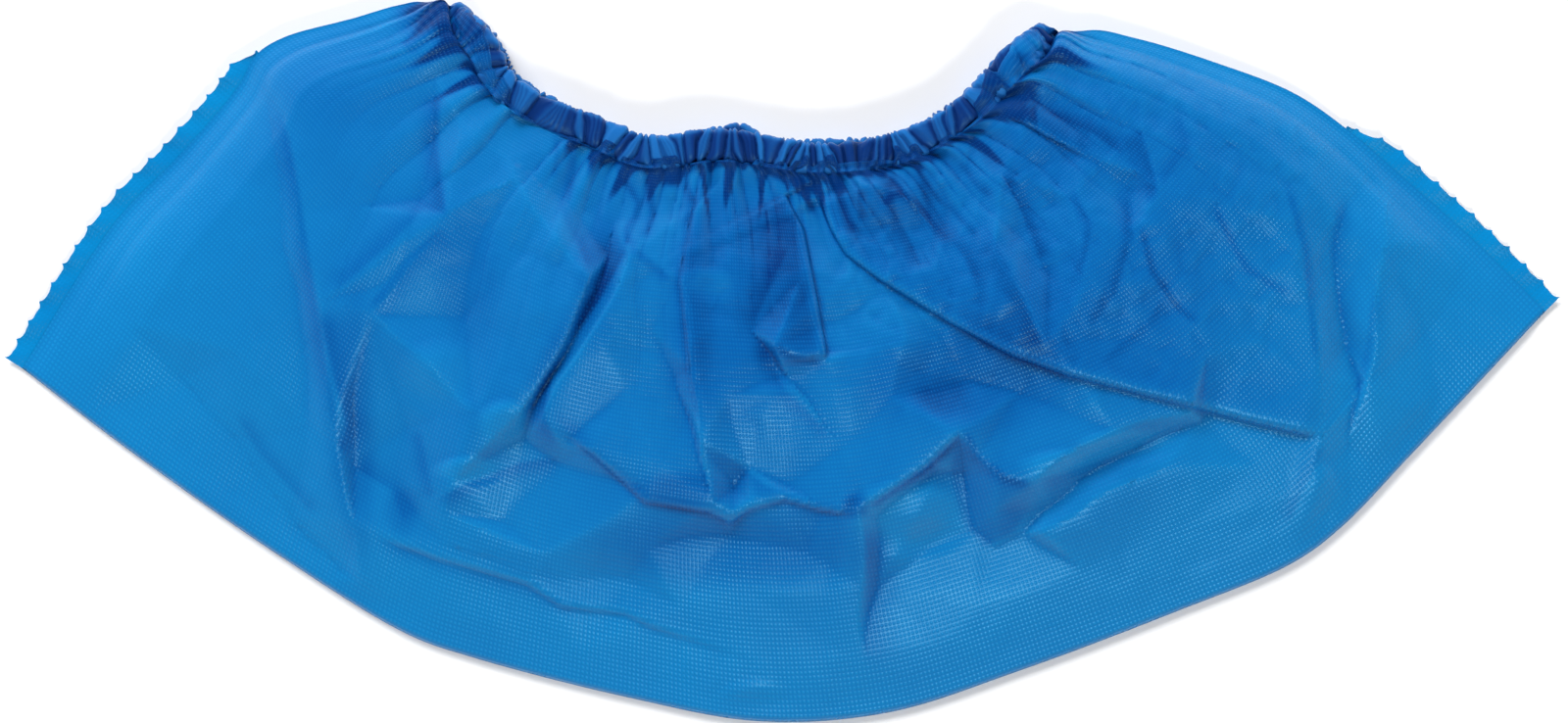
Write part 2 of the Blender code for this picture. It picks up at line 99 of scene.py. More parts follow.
# Corners of the film's facets: place on the drawing and millimetres above the even film
FACET_CORNERS = {
    "a0": (290, 112, 0.5), "a1": (306, 210, 1.1), "a2": (327, 306, 2.4), "a3": (336, 380, 1.7),
    "a4": (345, 450, 1.5), "a5": (357, 530, 1.3), "a6": (369, 590, 0.6),
    "b0": (274, 112, 0.0), "b1": (296, 250, 0.2), "b2": (308, 340, 0.2), "b3": (320, 430, 0.0),
    "c0": (179, 389, -1.2), "c1": (243, 450, -1.4), "c2": (293, 529, -1.0), "c3": (350, 580, -0.4),
    "d1": (459, 222, 2.2), "d2": (522, 180, 3.2), "d3": (392, 286, 1.4), "d4": (375, 318, 2.2),
    "d5": (452, 240, 1.7), "e1": (430, 368, 2.4), "e2": (486, 420, 3.0), "e3": (361, 475, -1.6),
    "e4": (500, 232, 0.6), "e5": (470, 330, -1.2), "e6": (420, 440, -0.8), "e7": (400, 500, -0.6),
    "f1": (604, 279, 4.6), "f2": (570, 350, 4.2), "f3": (545, 400, 3.8), "f4": (534, 418, 3.6),
    "f5": (540, 260, 2.0), "f6": (520, 340, 2.2),
    "g1": (633, 225, 0.2), "g2": (625, 257, 0.0), "g3": (594, 322, 0.2), "g4": (566, 375, 0.2),
    "g5": (547, 414, 0.2), "g6": (540, 443, -0.6), "g7": (572, 468, -1.0),
    "h1": (644, 262, 3.2), "h2": (606, 334, 3.6), "h3": (573, 384, 3.2), "h4": (558, 425, 2.8),
    "h5": (580, 452, 1.8),
    "i1": (464, 495, 2.4), "i2": (446, 513, 1.4), "i3": (510, 530, -0.6),
    "j1": (449, 78, 0.0), "j2": (431, 205, -0.6), "j3": (468, 126, 1.8), "j4": (516, 161, 2.4),
    "j5": (585, 212, 1.4), "j6": (380, 120, 0.6), "j7": (370, 210, 0.4),
    "k1": (608, 460, 3.0), "k2": (660, 505, 3.4), "k3": (724, 512, 3.2), "k4": (745, 522, 2.6),
    "k5": (766, 509, 2.8), "k6": (801, 500, 2.8), "k7": (836, 510, 2.6), "k8": (874, 520, 4.0),
    "k9": (674, 474, 3.6), "l1": (713, 450, 1.6), "l2": (720, 450, 4.4), "l3": (766, 474, 1.0),
    "l4": (748, 497, -0.6), "l5": (806, 490, 0.6), "l6": (640, 400, 1.4), "l7": (660, 340, 0.6),
    "m1": (706, 373, 2.8), "m2": (696, 289, 2.6), "m3": (709, 216, 1.6), "m4": (692, 387, 0.2),
    "m5": (740, 260, 1.6), "m6": (785, 347, 4.2), "m7": (762, 334, 0.8), "m8": (801, 380, 0.4),
    "m9": (864, 458, 1.6), "n1": (820, 284, 2.8), "n2": (842, 367, 1.8), "n3": (745, 400, 2.4),
    "n4": (812, 398, 2.2), "n5": (850, 330, -0.4),
    "o1": (881, 352, 0.6), "o2": (920, 345, 0.8), "o3": (990, 385, -2.6), "o4": (910, 410, 0.6),
    "o5": (900, 300, -0.6), "o6": (1040, 400, -2.0), "o7": (960, 350, -2.0),
    "p1": (946, 470, 3.2), "p2": (979, 437, 3.8), "p3": (950, 482, 0.4), "p4": (890, 530, 0.8),
    "p5": (881, 601, 1.8), "p6": (880, 670, 0.6), "p7": (898, 600, -0.8), "p8": (930, 530, 1.6),
    "q1": (979, 482, -0.8), "q2": (989, 537, -1.2), "q3": (1013, 556, -1.2), "q4": (1041, 542, -1.2),
    "q5": (1065, 515, -1.2), "q6": (1156, 462, -1.0), "q7": (1228, 426, -0.4),
    "r1": (996, 462, 2.6), "r2": (1017, 480, 3.0), "r3": (1056, 484, 3.4), "r4": (1137, 440, 3.2),
    "r5": (1218, 417, 2.4), "r6": (1060, 540, 1.6), "r7": (1185, 478, 1.8), "r8": (1010, 520, 1.2),
    "s1": (1352, 448, 2.2), "s2": (1390, 393, 2.6), "s3": (1400, 346, 2.6), "s4": (1414, 250, 2.4),
    "s5": (1416, 205, 1.2), "s6": (1372, 211, 0.0), "s7": (1362, 291, -0.6), "s8": (1370, 358, -1.0),
    "s9": (1384, 398, 0.2), "t1": (1304, 508, 1.2), "t2": (1312, 535, 0.6), "t3": (1347, 530, 0.8),
    "t4": (1338, 500, 1.6), "t5": (1380, 455, 0.2), "t6": (1280, 470, 1.2), "t7": (1450, 340, -0.4),
    "u1": (1321, 224, 1.6), "u2": (1329, 278, 1.6), "u3": (1338, 331, 1.4), "u4": (1346, 385, 1.6),
    "v1": (1161, 130, 2.0), "v2": (1179, 196, 2.2), "v3": (1214, 110, 0.6), "v4": (1222, 157, 1.4),
    "v5": (1241, 203, 2.2), "v6": (1238, 264, 1.0), "v7": (1150, 200, -0.4), "v8": (1160, 252, 1.6),
    "v9": (1204, 304, 1.0), "w1": (1021, 178, 2.0), "w2": (1048, 221, -0.8), "w3": (1070, 278, -0.6),
    "w4": (1016, 254, 1.8), "w5": (1064, 350, 1.4), "w6": (1090, 200, 1.8), "w7": (1110, 290, 1.8),
    "w8": (918, 200, 2.2), "w9": (956, 235, -0.4), "x1": (940, 190, 0.6), "x2": (875, 185, 1.8),
    "x3": (879, 238, 0.2), "x4": (1044, 128, 1.8), "x5": (1100, 155, 0.4), "x6": (1290, 340, 0.6),
    "x7": (1290, 240, 0.9), "x8": (1140, 350, 0.6), "x9": (1230, 360, 1.2),
    "y1": (450, 527, 1.4), "y2": (552, 562, 1.2), "y3": (450, 560, 0.8), "y4": (538, 584, 0.4),
    "y5": (660, 560, 1.0), "y6": (741, 545, -0.2), "y7": (700, 620, 0.2), "y8": (640, 590, -0.8),
    "y9": (820, 560, 0.4), "z1": (760, 600, 0.6), "z2": (1000, 620, 0.4), "z3": (1100, 580, 0.2),
    "z4": (960, 660, 0.2), "z5": (1200, 540, 0.4), "z6": (600, 660, 0.2), "z7": (130, 330, 0.4),
    "z8": (200, 250, 0.8), "z9": (240, 360, 0.8),
}

# Folds' lines, each a run of facet corners that stays a straight crease from one to the next
CREASES = (
    "a0 a1 a2 a3 a4 a5 a6", "b0 b1 b2 b3", "c0 c1 c2 c3", "a2 d1 d2", "a2 d3 d5", "d4 d5 e4",
    "d4 e1 e2 f4", "a2 d4 e3", "f1 f2 f3 f4 i1 i2", "g1 g2 g3 g4 g5 g6 g7", "h1 h2 h3 h4 h5",
    "d2 f1", "j1 j2", "j3 d1", "j4 j5", "k1 k2 k3 k4 k5 k6 k7 k8", "l2 k3", "l2 l3 l5 k7", "k9 l1",
    "m3 m2 m1 l2", "m7 m8 m9", "m6 n1", "m6 n2", "m6 n4 m9", "p1 k8", "p1 p2", "k8 p5 p6",
    "p2 q1 q2 q3 q4 q5 q6 q7", "p2 r1 r2 r3 r4 r5", "r6 r7", "s1 s2 s3 s4 s5", "s6 s7 s8 s9 t5",
    "s1 t4 t1 t2", "u1 u2 u3 u4 s1", "v1 v2", "v3 v4", "v5 v6", "v7 v8 v9", "w1 w2 w3", "w4 w5",
    "w8 w9", "x2 x3", "x4 x5 v2", "y1 y2", "y3 y4",
)

# Folds whose upper side lies over the lower one. Each has its line on the drawing, with its
# upper side on its left, its rise and its reach in millimetres, how much darker the double
# layer beside it looks and how far, and the shares of its length over which its ends fade.
OVERLAPS = (
    (((836, 200), (850, 234), (864, 258), (898, 284), (970, 328), (1032, 361), (1089, 381),
      (1156, 398), (1223, 415), (1280, 429), (1352, 446)), 2.4, 24.0, 0.22, 18.0, 0.02, 0.05),
    (((562, 429), (608, 464), (660, 511), (724, 520), (745, 531), (766, 517), (801, 508),
      (836, 518), (874, 524)), 1.1, 16.0, 0.0, 5.0, 0.15, 0.06),
    (((842, 367), (829, 295), (818, 237), (799, 200)), 2.4, 9.0, 0.34, 11.0, 0.05, 0.02),
    (((738, 181), (709, 216), (696, 289), (706, 373), (720, 450)), 0.7, 6.0, 0.10, 10.0, 0.05, 0.2),
    (((381, 546), (450, 569), (538, 594), (573, 618), (639, 625), (667, 639), (783, 678)),
     0.9, 10.0, 0.10, 6.0, 0.1, 0.35),
    (((994, 115), (1044, 125), (1123, 170)), 1.4, 8.0, 0.2, 5.0, 0.02, 0.3),
    (((885, 515), (946, 474), (979, 441)), 1.0, 7.0, 0.0, 5.0, 0.1, 0.1),
)


# Where the film looks darker or lighter, from more or less film and from painted shade and light:
# middle and radii on the drawing, and how much
SHADE_SPOTS = (
    ((765, 290), (62, 130), 0.21),
    ((990, 385), (100, 50), 0.30),
    ((1130, 200), (260, 130), 0.16),
    ((1050, 130), (110, 60), 0.16),
    ((478, 24), (44, 26), 0.75),
    ((502, 62), (22, 34), 0.6),
    ((745, 560), (120, 34), 0.30),
    ((366, 440), (16, 130), 0.18),
    ((400, 500), (60, 60), 0.10),
    ((480, 280), (30, 60), 0.16),
    ((610, 290), (20, 70), 0.18),
    ((700, 330), (24, 90), 0.16),
    ((895, 600), (22, 70), 0.14),
    ((1036, 44), (26, 10), -0.5),
    ((438, 14), (32, 24), 0.45),
    ((770, 235), (54, 60), 0.06),
    ((1066, 44), (30, 14), 0.18),
    ((230, 110), (170, 90), 0.07),
    ((464, 26), (20, 24), 0.30),
    ((380, 70), (90, 60), 0.12),
    ((412, 520), (16, 22), 0.22),
    ((700, 500), (44, 18), 0.30),
    ((872, 516), (12, 12), 0.40),
    ((1018, 512), (30, 38), 0.16),
    ((960, 402), (26, 22), 0.16),
    ((910, 190), (60, 50), 0.10),
    ((1042, 106), (22, 12), 0.26),
    ((620, 240), (14, 24), 0.16),
    ((640, 190), (60, 30), 0.14),
    ((560, 150), (30, 40), 0.10),
)

# More spots of the same form: where random facets show more, where they have the finest ones
# too, where the fine wrinkles lie, and where the dark band beside the hem is broader, in metres
CRUMPLED_SPOTS = (((1120, 230), (290, 180), 0.45), ((740, 290), (260, 200), 0.4))
TINY_SPOTS = (((1140, 240), (280, 200), 1.0), ((760, 230), (330, 110), 0.6))
WRINKLED_SPOTS = (
    ((1120, 230), (290, 170), 0.09),
    ((740, 290), (120, 140), 0.02),
    ((1085, 95), (70, 55), 0.05),
)
BAND_SPOTS = (((826, 170), (44, 60), 0.005), ((680, 160), (50, 60), 0.003))


# Soft strokes of painted shade beside creases: each has its line on the drawing, how far it reaches to
# the line's left, or to its right where negative, and how dark it is. A stroke fades over a share
# of its length at both ends, and reaches STROKE_BACK on its other side.
STROKE_FADE = 0.15
STROKE_BACK = 3.0
SHADE_LINES = (
    (((642, 230), (637, 260), (610, 307), (577, 350), (562, 385), (555, 425), (575, 470)), -15, 0.36),
    (((576, 468), (533, 474), (478, 495), (444, 514)), 12, 0.34),
    (((457, 229), (420, 268), (376, 318)), 18, 0.24),
    (((440, 205), (401, 246), (338, 300)), -14, 0.20),
    (((276, 92), (294, 140), (304, 190), (316, 265), (331, 363), (346, 435), (357, 541)), -12, 0.30),
    (((329, 312), (333, 333), (344, 384), (357, 431), (351, 452), (361, 473)), 17, 0.36),
    (((361, 473), (402, 498), (415, 535)), 14, 0.20),
    (((427, 435), (436, 480), (442, 511)), -10, 0.22),
    (((240, 418), (266, 460), (325, 528)), 10, 0.20),
    (((706, 200), (692, 290), (700, 375), (715, 425), (722, 490)), 22, 0.13),
    (((449, 92), (446, 150), (452, 200), (457, 228)), -15, 0.34),
    (((642, 250), (664, 268), (686, 288)), -7, 0.26),
    (((803, 250), (784, 292), (765, 336)), -16, 0.20),
    (((772, 345), (800, 400), (850, 448)), -10, 0.20),
    (((787, 350), (812, 366), (840, 371)), -6, 0.24),
    (((562, 418), (600, 457), (662, 512), (745, 531)), 9, 0.26),
    (((725, 452), (780, 497), (825, 512), (872, 519)), -14, 0.24),
    (((882, 520), (925, 495), (980, 450)), 9, 0.30),
    (((977, 440), (972, 480), (982, 530), (1005, 555), (1032, 540), (1052, 512)), 22, 0.22),
    (((982, 437), (997, 465), (1025, 487), (1056, 496)), -8, 0.40),
    (((1056, 492), (1110, 476), (1160, 458), (1185, 442)), -13, 0.30),
    (((881, 530), (887, 590), (884, 680)), 16, 0.22),
    (((1372, 448), (1384, 400), (1396, 350), (1402, 290)), -12, 0.22),
    (((1352, 452), (1330, 492), (1312, 536)), -10, 0.24),
    (((381, 550), (450, 575), (538, 600), (600, 628)), -9, 0.20),
    (((450, 4), (432, 26), (410, 52)), 13, 0.34),
    (((514, 44), (492, 58), (482, 96)), 10, 0.26),
    (((620, 155), (635, 180), (652, 208), (648, 222), (640, 234), (641, 246), (656, 253)), 5, 0.34),
    (((567, 130), (569, 160), (566, 186)), 5, 0.20),
    (((588, 140), (586, 178), (580, 212)), -9, 0.28),
    (((660, 178), (666, 220), (659, 246)), 5, 0.22),
    (((680, 152), (698, 180), (710, 212)), -8, 0.36),
    (((733, 152), (720, 190), (707, 216), (700, 238)), -9, 0.26),
    (((526, 92), (531, 120)), -7, 0.34),
    (((856, 158), (852, 186), (866, 224), (878, 242)), -9, 0.30),
    (((875, 193), (881, 228)), 5, 0.16),
    (((900, 152), (910, 180), (921, 196), (942, 215), (975, 256)), -8, 0.34),
    (((921, 196), (908, 201), (901, 211)), 5, 0.28),
    (((930, 165), (947, 194), (975, 220), (1000, 246)), 5, 0.20),
    (((977, 165), (999, 194), (1014, 202)), 5, 0.20),
    (((980, 117), (1025, 117), (1062, 126)), 8, 0.30),
    (((1159, 130), (1177, 194), (1170, 212)), -18, 0.26),
    (((1199, 110), (1209, 150), (1180, 192)), -10, 0.14),
    (((1147, 184), (1149, 249), (1134, 299), (1105, 339)), -8, 0.22),
    (((1159, 224), (1174, 279), (1199, 314), (1224, 334)), 5, 0.26),
    (((1234, 209), (1269, 274), (1299, 294), (1323, 304)), 5, 0.26),
    (((1020, 174), (1045, 219), (1065, 269)), 10, 0.28),
    (((1002, 229), (1030, 284), (1065, 364)), -14, 0.20),
    (((1062, 112), (1114, 135), (1150, 162)), 9, 0.26),
    (((1308, 179), (1331, 259), (1338, 339), (1343, 380)), 6, 0.26),
    (((1368, 194), (1358, 259), (1373, 339), (1383, 393)), 14, 0.24),
    (((1190, 300), (1170, 330), (1120, 372)), 7, 0.16),
    (((1090, 190), (1110, 232), (1098, 290)), -7, 0.20),
    (((930, 175), (950, 215), (985, 262), (1000, 300)), 8, 0.22),
    (((905, 180), (915, 230), (940, 275)), -9, 0.18),
    (((570, 205), (590, 245), (604, 276)), 8, 0.20),
    (((664, 180), (668, 220), (655, 246)), -7, 0.20),
)

# Where the film is drawn up against the hem's two ends: place on the drawing and its shift
CORNER_FILLS = (((442, 24), (11, -20)), ((1086, 46), (-6, -13)))
CORNER_REACH = 16.0

# Lighter places of the film that laps over the hem, thinner film and painted highlights, in the form of
# the spots above
LAP_SPOTS = (
    ((1040, 46), (26, 9), -0.40),
    ((503, 84), (20, 16), -0.24),
    ((566, 96), (8, 8), -0.25),
    ((690, 128), (14, 10), -0.16),
    ((930, 142), (16, 10), -0.16),
)

# Parts of the film that face the light: middle and radii on the drawing, and how steeply.
# The slope is in millimetres to the drawing's unit, across and down.
TILT_SLOPE = (0.018, 0.050)
# How much lighter the film's colour is painted where it faces the light, a painted highlight
TILT_LIGHTER = 0.35
TILTS = (
    ((518, 433), (24, 20), 1.0),
    ((480, 480), (28, 12), 1.0),
    ((930, 527), (48, 30), 1.0),
    ((1090, 475), (40, 14), 0.9),
    ((1150, 455), (40, 14), 0.9),
    ((725, 290), (24, 14), 0.6),
    ((770, 715), (30, 16), 0.8),
    ((1350, 508), (12, 26), 0.8),
    ((452, 385), (34, 30), 0.5),
)


def ease(value):
    """0 at 0 and 1 at 1, level at both ends."""
    value = np.clip(value, 0.0, 1.0)
    return value * value * (3 - 2 * value)


class Outline:
    """A smooth plan curve through a table's spots, read by its share of length."""

    SAMPLES = 16

    def __init__(self, spots):
        knots = np.array([(along * BAG_LENGTH / 2, across * BAG_WIDTH) for along, across in spots])
        padded = np.vstack([2 * knots[0] - knots[1], knots, 2 * knots[-1] - knots[-2]])
        pieces = [self.span(padded[i : i + 4]) for i in range(len(knots) - 1)]
        self.points = np.vstack(pieces + [knots[-1:]])
        steps = np.linalg.norm(np.diff(self.points, axis=0), axis=1)
        self.length = float(steps.sum())
        self.shares = np.concatenate([[0.0], np.cumsum(steps)]) / self.length

    def span(self, corners):
        """Centripetal spline from the second corner to just before the third."""
        steps = np.sqrt(np.linalg.norm(np.diff(corners, axis=0), axis=1))
        knot = np.concatenate([[0.0], np.cumsum(steps)])
        at = np.linspace(knot[1], knot[2], self.SAMPLES, endpoint=False)[:, None]
        line = [
            (knot[i + 1] - at) / (knot[i + 1] - knot[i]) * corners[i]
            + (at - knot[i]) / (knot[i + 1] - knot[i]) * corners[i + 1]
            for i in range(3)
        ]
        bend = [
            (knot[i + 2] - at) / (knot[i + 2] - knot[i]) * line[i]
            + (at - knot[i]) / (knot[i + 2] - knot[i]) * line[i + 1]
            for i in range(2)
        ]
        return ((knot[2] - at) * bend[0] + (at - knot[1]) * bend[1]) / (knot[2] - knot[1])

    def at(self, share):
        share = np.asarray(share, float)
        return np.stack([np.interp(share, self.shares, self.points[:, k]) for k in range(2)], axis=-1)

    def direction(self, share):
        """Unit direction of the curve at each share."""
        step = 0.004
        ahead = self.at(np.clip(np.asarray(share) + step, 0, 1))
        behind = self.at(np.clip(np.asarray(share) - step, 0, 1))
        return (ahead - behind) / np.linalg.norm(ahead - behind, axis=-1, keepdims=True)


SOLE = Outline(SOLE_FOLD)
RIM = Outline(MOUTH_RIM)
ENDS = {"left": Outline(LEFT_END), "right": Outline(RIGHT_END)}


def plan(place, rise):
    """Plan position of the film at a share of its length and a share from fold to hem."""
    place, rise = np.broadcast_arrays(np.asarray(place, float), np.asarray(rise, float))
    up = rise[..., None]
    ruled = (1 - up) * SOLE.at(place) + up * RIM.at(place)
    for side, end, near in (("left", 0.0, 1 - place), ("right", 1.0, place)):
        straight = (1 - up) * SOLE.at(end) + up * RIM.at(end)
        ruled = ruled + (near**2)[..., None] * (ENDS[side].at(rise) - straight)
    return ruled


def rim_height(place, run):
    """Height of the rim's middle on its upper run, +1, or its lower run, -1."""
    from_end = np.minimum(place, 1 - np.asarray(place)) * RIM.length
    turned = np.clip((from_end - HEM_SETBACK) / MOUTH_TURN, 0.0, 1.0)
    return MIDDLE_HEM_HEIGHT + run * HEM_REACH * np.sqrt(1 - (1 - turned) ** 2)


def weld_height(rise):
    """Height of an end weld, from the floor at the sole fold to the mouth's corner."""
    return EDGE_HALF + (MIDDLE_HEM_HEIGHT - EDGE_HALF) * np.asarray(rise) ** 1.5


def to_frame(points):
    """Plan positions moved into the frame that every piece shares."""
    return points - ORIGIN


def to_drawing(points):
    """Frame positions as places on the drawing."""
    across = DRAWING_ORIGIN[0] + points[..., 0] * DRAWING_UNITS
    down = DRAWING_ORIGIN[1] - points[..., 1] * DRAWING_UNITS
    return np.stack([across, down], axis=-1)


def from_drawing(places):
    """Places on the drawing as frame positions."""
    along = (places[..., 0] - DRAWING_ORIGIN[0]) / DRAWING_UNITS
    up = (DRAWING_ORIGIN[1] - places[..., 1]) / DRAWING_UNITS
    return np.stack([along, up], axis=-1)


def upper_base(place, rise):
    """Height of the upper film with no folds in it."""
    fold_edge = 2 * EDGE_HALF
    rim_edge = rim_height(place, 1) + EDGE_HALF
    height = (1 - rise) * fold_edge + rise * rim_edge
    for end, near in ((0.0, 1 - place), (1.0, place)):
        straight = (1 - rise) * fold_edge + rise * (rim_height(end, 1) + EDGE_HALF)
        height = height + near**12 * (weld_height(rise) + EDGE_HALF - straight)
    share = np.interp(place, [lift[0] for lift in LIFTS], [lift[1] for lift in LIFTS])
    climb = 1 - np.clip(1 - rise / CROWN_PLACE, 0, 1) ** 2
    fall = 0.5 * (1 + np.cos(math.pi * np.clip((rise - CROWN_PLACE) / (1 - CROWN_PLACE), 0, 1)))
    return height + FILM_CROWN * share * climb * fall


def lower_base(place, rise):
    """Height of the lower film, which lies on the floor but for its ends and its rim."""
    near_end = np.clip(1 - np.minimum(place, 1 - place) / LOWER_END_SHARE, 0, 1) ** 2
    height = (weld_height(rise) - 2 * LAYER_GAP) * near_end
    near_rim = np.clip((rise - 1 + LOWER_RIM_SHARE) / LOWER_RIM_SHARE, 0, 1) ** 2
    rim_edge = rim_height(place, -1)
    return LAYER_GAP + height + near_rim * (rim_edge - height)


CLOSE = 1e-6


def interpolate_facets(corners, edges, heights, points):
    """Heights at points of a surface of flat facets through the corners."""
    made = delaunay_2d_cdt([Vector(corner) for corner in corners], edges, [], 0, CLOSE)
    places, faces, sources = made[0], made[2], made[3]
    height_at = np.zeros(len(places))
    for k, source in enumerate(sources):
        if source:
            height_at[k] = heights[source[0]]
        else:
            away = [(Vector(corner) - places[k]).length for corner in corners]
            nearest = np.argsort(away)[:2]
            share = away[nearest[0]] / max(away[nearest[0]] + away[nearest[1]], CLOSE)
            height_at[k] = heights[nearest[0]] * (1 - share) + heights[nearest[1]] * share
    places = np.array([tuple(place) for place in places])
    flat = points.reshape(-1, 2)
    found = np.zeros(len(flat))
    order = np.argsort(flat[:, 0])
    across = flat[order, 0]
    for face in faces:
        triangle = places[list(face)]
        low, high = triangle.min(axis=0), triangle.max(axis=0)
        first, last = np.searchsorted(across, (low[0] - CLOSE, high[0] + CLOSE))
        near = order[first:last]
        near = near[(flat[near, 1] >= low[1] - CLOSE) & (flat[near, 1] <= high[1] + CLOSE)]
        if not len(near):
            continue
        side_a, side_b = triangle[1] - triangle[0], triangle[2] - triangle[0]
        whole = side_a[0] * side_b[1] - side_a[1] * side_b[0]
        if abs(whole) < CLOSE:
            continue
        offset = flat[near] - triangle[0]
        share_b = (offset[:, 0] * side_b[1] - offset[:, 1] * side_b[0]) / whole
        share_c = (side_a[0] * offset[:, 1] - side_a[1] * offset[:, 0]) / whole
        inside = (share_b >= -CLOSE) & (share_c >= -CLOSE) & (share_b + share_c <= 1 + CLOSE)
        rise = height_at[list(face)]
        value = rise[0] + share_b * (rise[1] - rise[0]) + share_c * (rise[2] - rise[0])
        found[near[inside]] = value[inside]
    return found.reshape(points.shape[:-1])


def boundary_corners():
    """Places round the upper film's edge, where the facets meet the even film."""
    share = np.linspace(0, 1, 25)
    back = share[::-1][1:]
    walk = [plan(share, 0.0), plan(1.0, share[1:]), plan(back, 1.0), plan(0.0, back[:-1])]
    return to_drawing(to_frame(np.vstack(walk)))


def main_folds(drawing):
    """Millimetres that the film's facets add at places on the drawing."""
    names = list(FACET_CORNERS)
    corners = [FACET_CORNERS[name][:2] for name in names]
    heights = [FACET_CORNERS[name][2] for name in names]
    index = {name: k for k, name in enumerate(names)}
    edges = []
    for crease in CREASES:
        run = crease.split()
        edges += [(index[a], index[b]) for a, b in zip(run, run[1:])]
    for corner in boundary_corners():
        corners.append(tuple(corner))
        heights.append(0.0)
    return interpolate_facets(corners, edges, np.array(heights), drawing)


def distance_to_line(line, points):
    """Signed distance from a line on the drawing, positive on its left, and the share along it."""
    line = np.array(line, float)
    steps = np.diff(line, axis=0)
    lengths = np.linalg.norm(steps, axis=1)
    before = np.concatenate([[0], np.cumsum(lengths)])
    best = np.full(points.shape[:-1], 1e9)
    signed = np.zeros(points.shape[:-1])
    share = np.zeros(points.shape[:-1])
    for k, (start, step) in enumerate(zip(line, steps)):
        offset = points - start
        along = np.clip((offset @ step) / lengths[k] ** 2, 0, 1)
        away = offset - along[..., None] * step
        distance = np.linalg.norm(away, axis=-1)
        side = np.sign(step[0] * offset[..., 1] - step[1] * offset[..., 0])
        closer = distance < best
        best = np.where(closer, distance, best)
        signed = np.where(closer, -side * distance, signed)
        share = np.where(closer, (before[k] + along * lengths[k]) / before[-1], share)
    return signed, share


# The overlapping folds' lips, in millimetres: half width of the step, reach across the line,
# and how far the lip is pushed over. How dark the painted shadow below it is, and the step for the
# line's slope.
LIP_STEP = 0.45
LIP_REACH = 0.7
LIP_PUSH = 0.75
LIP_SHADE = 0.04
NUDGE = 0.5


def faded(share, fade_in, fade_out):
    """1 along a line, falling to 0 over shares of its length at both ends."""
    return ease(share / fade_in) * ease((1 - share) / fade_out)


def overlap_folds(drawing):
    """Millimetres and shade that the overlapping folds add, and places with the lips moved."""
    height = np.zeros(drawing.shape[:-1])
    shade = np.zeros(drawing.shape[:-1])
    moved = drawing.copy()
    for line, rise, reach, dark, dark_reach, fade_in, fade_out in OVERLAPS:
        signed, share = distance_to_line(line, drawing)
        away = signed / UNITS_PER_MM
        shown = faded(share, fade_in, fade_out)
        step = np.tanh(away / LIP_STEP) * np.exp(-np.abs(away) / reach)
        height = height + 0.5 * rise * shown * step
        shade = shade + dark * shown * ease(away / 0.8 + 0.5) * np.exp(-((away / dark_reach) ** 2))
        # Painted shadow under each lip, on top of the double layer's darker blue
        under_lip = np.exp(-(((away + 0.5) / LIP_REACH) ** 2))
        shade = shade + LIP_SHADE * np.minimum(rise, 2) * shown * under_lip
        ahead, _ = distance_to_line(line, drawing + (NUDGE, 0))
        below, _ = distance_to_line(line, drawing + (0, NUDGE))
        slope = np.stack([ahead - signed, below - signed], axis=-1) / NUDGE
        slope = slope / np.maximum(np.linalg.norm(slope, axis=-1, keepdims=True), 0.3)
        on_lip = np.exp(-(((away - 0.35) / LIP_REACH) ** 2))
        push = -LIP_PUSH * np.minimum(1, rise / 2) * shown * on_lip * UNITS_PER_MM
        moved = moved + slope * push[..., None]
    return height, shade, moved


def shade_lines(drawing):
    """How much painted shade the strokes beside the creases add to the film."""
    shade = np.zeros(drawing.shape[:-1])
    for line, reach, dark in SHADE_LINES:
        signed, share = distance_to_line(line, drawing)
        shown = faded(share, STROKE_FADE, STROKE_FADE)
        width = np.where(signed * reach > 0, abs(reach), STROKE_BACK)
        shade = shade + dark * shown * np.exp(-((signed / width) ** 2))
    return shade


def tilted_parts(drawing):
    """Millimetres that turn parts of the film towards the light."""
    height = np.zeros(drawing.shape[:-1])
    for centre, radii, steep in TILTS:
        across, down = drawing[..., 0] - centre[0], drawing[..., 1] - centre[1]
        slope = TILT_SLOPE[0] * across + TILT_SLOPE[1] * down
        height = height - steep * slope * blob(drawing, centre, radii)
    return height


def snap_to_creases(drawing, reach):
    """Grid places that lie close to a crease moved onto it, so that its line stays sharp."""
    moved = drawing.copy()
    best = np.full(drawing.shape[:-1], reach)
    for crease in CREASES:
        run = [np.array(FACET_CORNERS[name][:2], float) for name in crease.split()]
        for start, end in zip(run, run[1:]):
            step = end - start
            low = np.minimum(start, end) - reach
            high = np.maximum(start, end) + reach
            near = np.all((drawing > low) & (drawing < high), axis=-1)
            offset = drawing[near] - start
            along = np.clip(offset @ step / (step @ step), 0, 1)
            foot = start + along[:, None] * step
            distance = np.linalg.norm(drawing[near] - foot, axis=-1)
            closer = distance < best[near]
            rows, columns = np.nonzero(near)
            moved[rows[closer], columns[closer]] = foot[closer]
            best[rows[closer], columns[closer]] = distance[closer]
    return moved


def random_facets(drawing, spacing, seed):
    """Heights of a random crumple of flat facets, from -1 to 1."""
    random = np.random.default_rng(seed)
    across = np.arange(-40, DRAWING_SIZE[0] + 80, spacing)
    down = np.arange(-40, 800, spacing * 0.87)
    corners = []
    for n, y in enumerate(down):
        for x in across:
            jitter = (random.random(2) - 0.5) * spacing * 0.8
            corners.append((x + (n % 2) * spacing / 2 + jitter[0], y + jitter[1]))
    heights = random.uniform(-1, 1, len(corners))
    return interpolate_facets(corners, [], heights, drawing)


def blob(drawing, centre, radii):
    """1 at the centre of an oval, falling to 0 outside it."""
    away = np.hypot((drawing[..., 0] - centre[0]) / radii[0], (drawing[..., 1] - centre[1]) / radii[1])
    return ease(1.5 - away)


def blobs(drawing, spots):
    """Sum of a table's oval spots at places on the drawing."""
    return sum(amount * blob(drawing, centre, radii) for centre, radii, amount in spots)


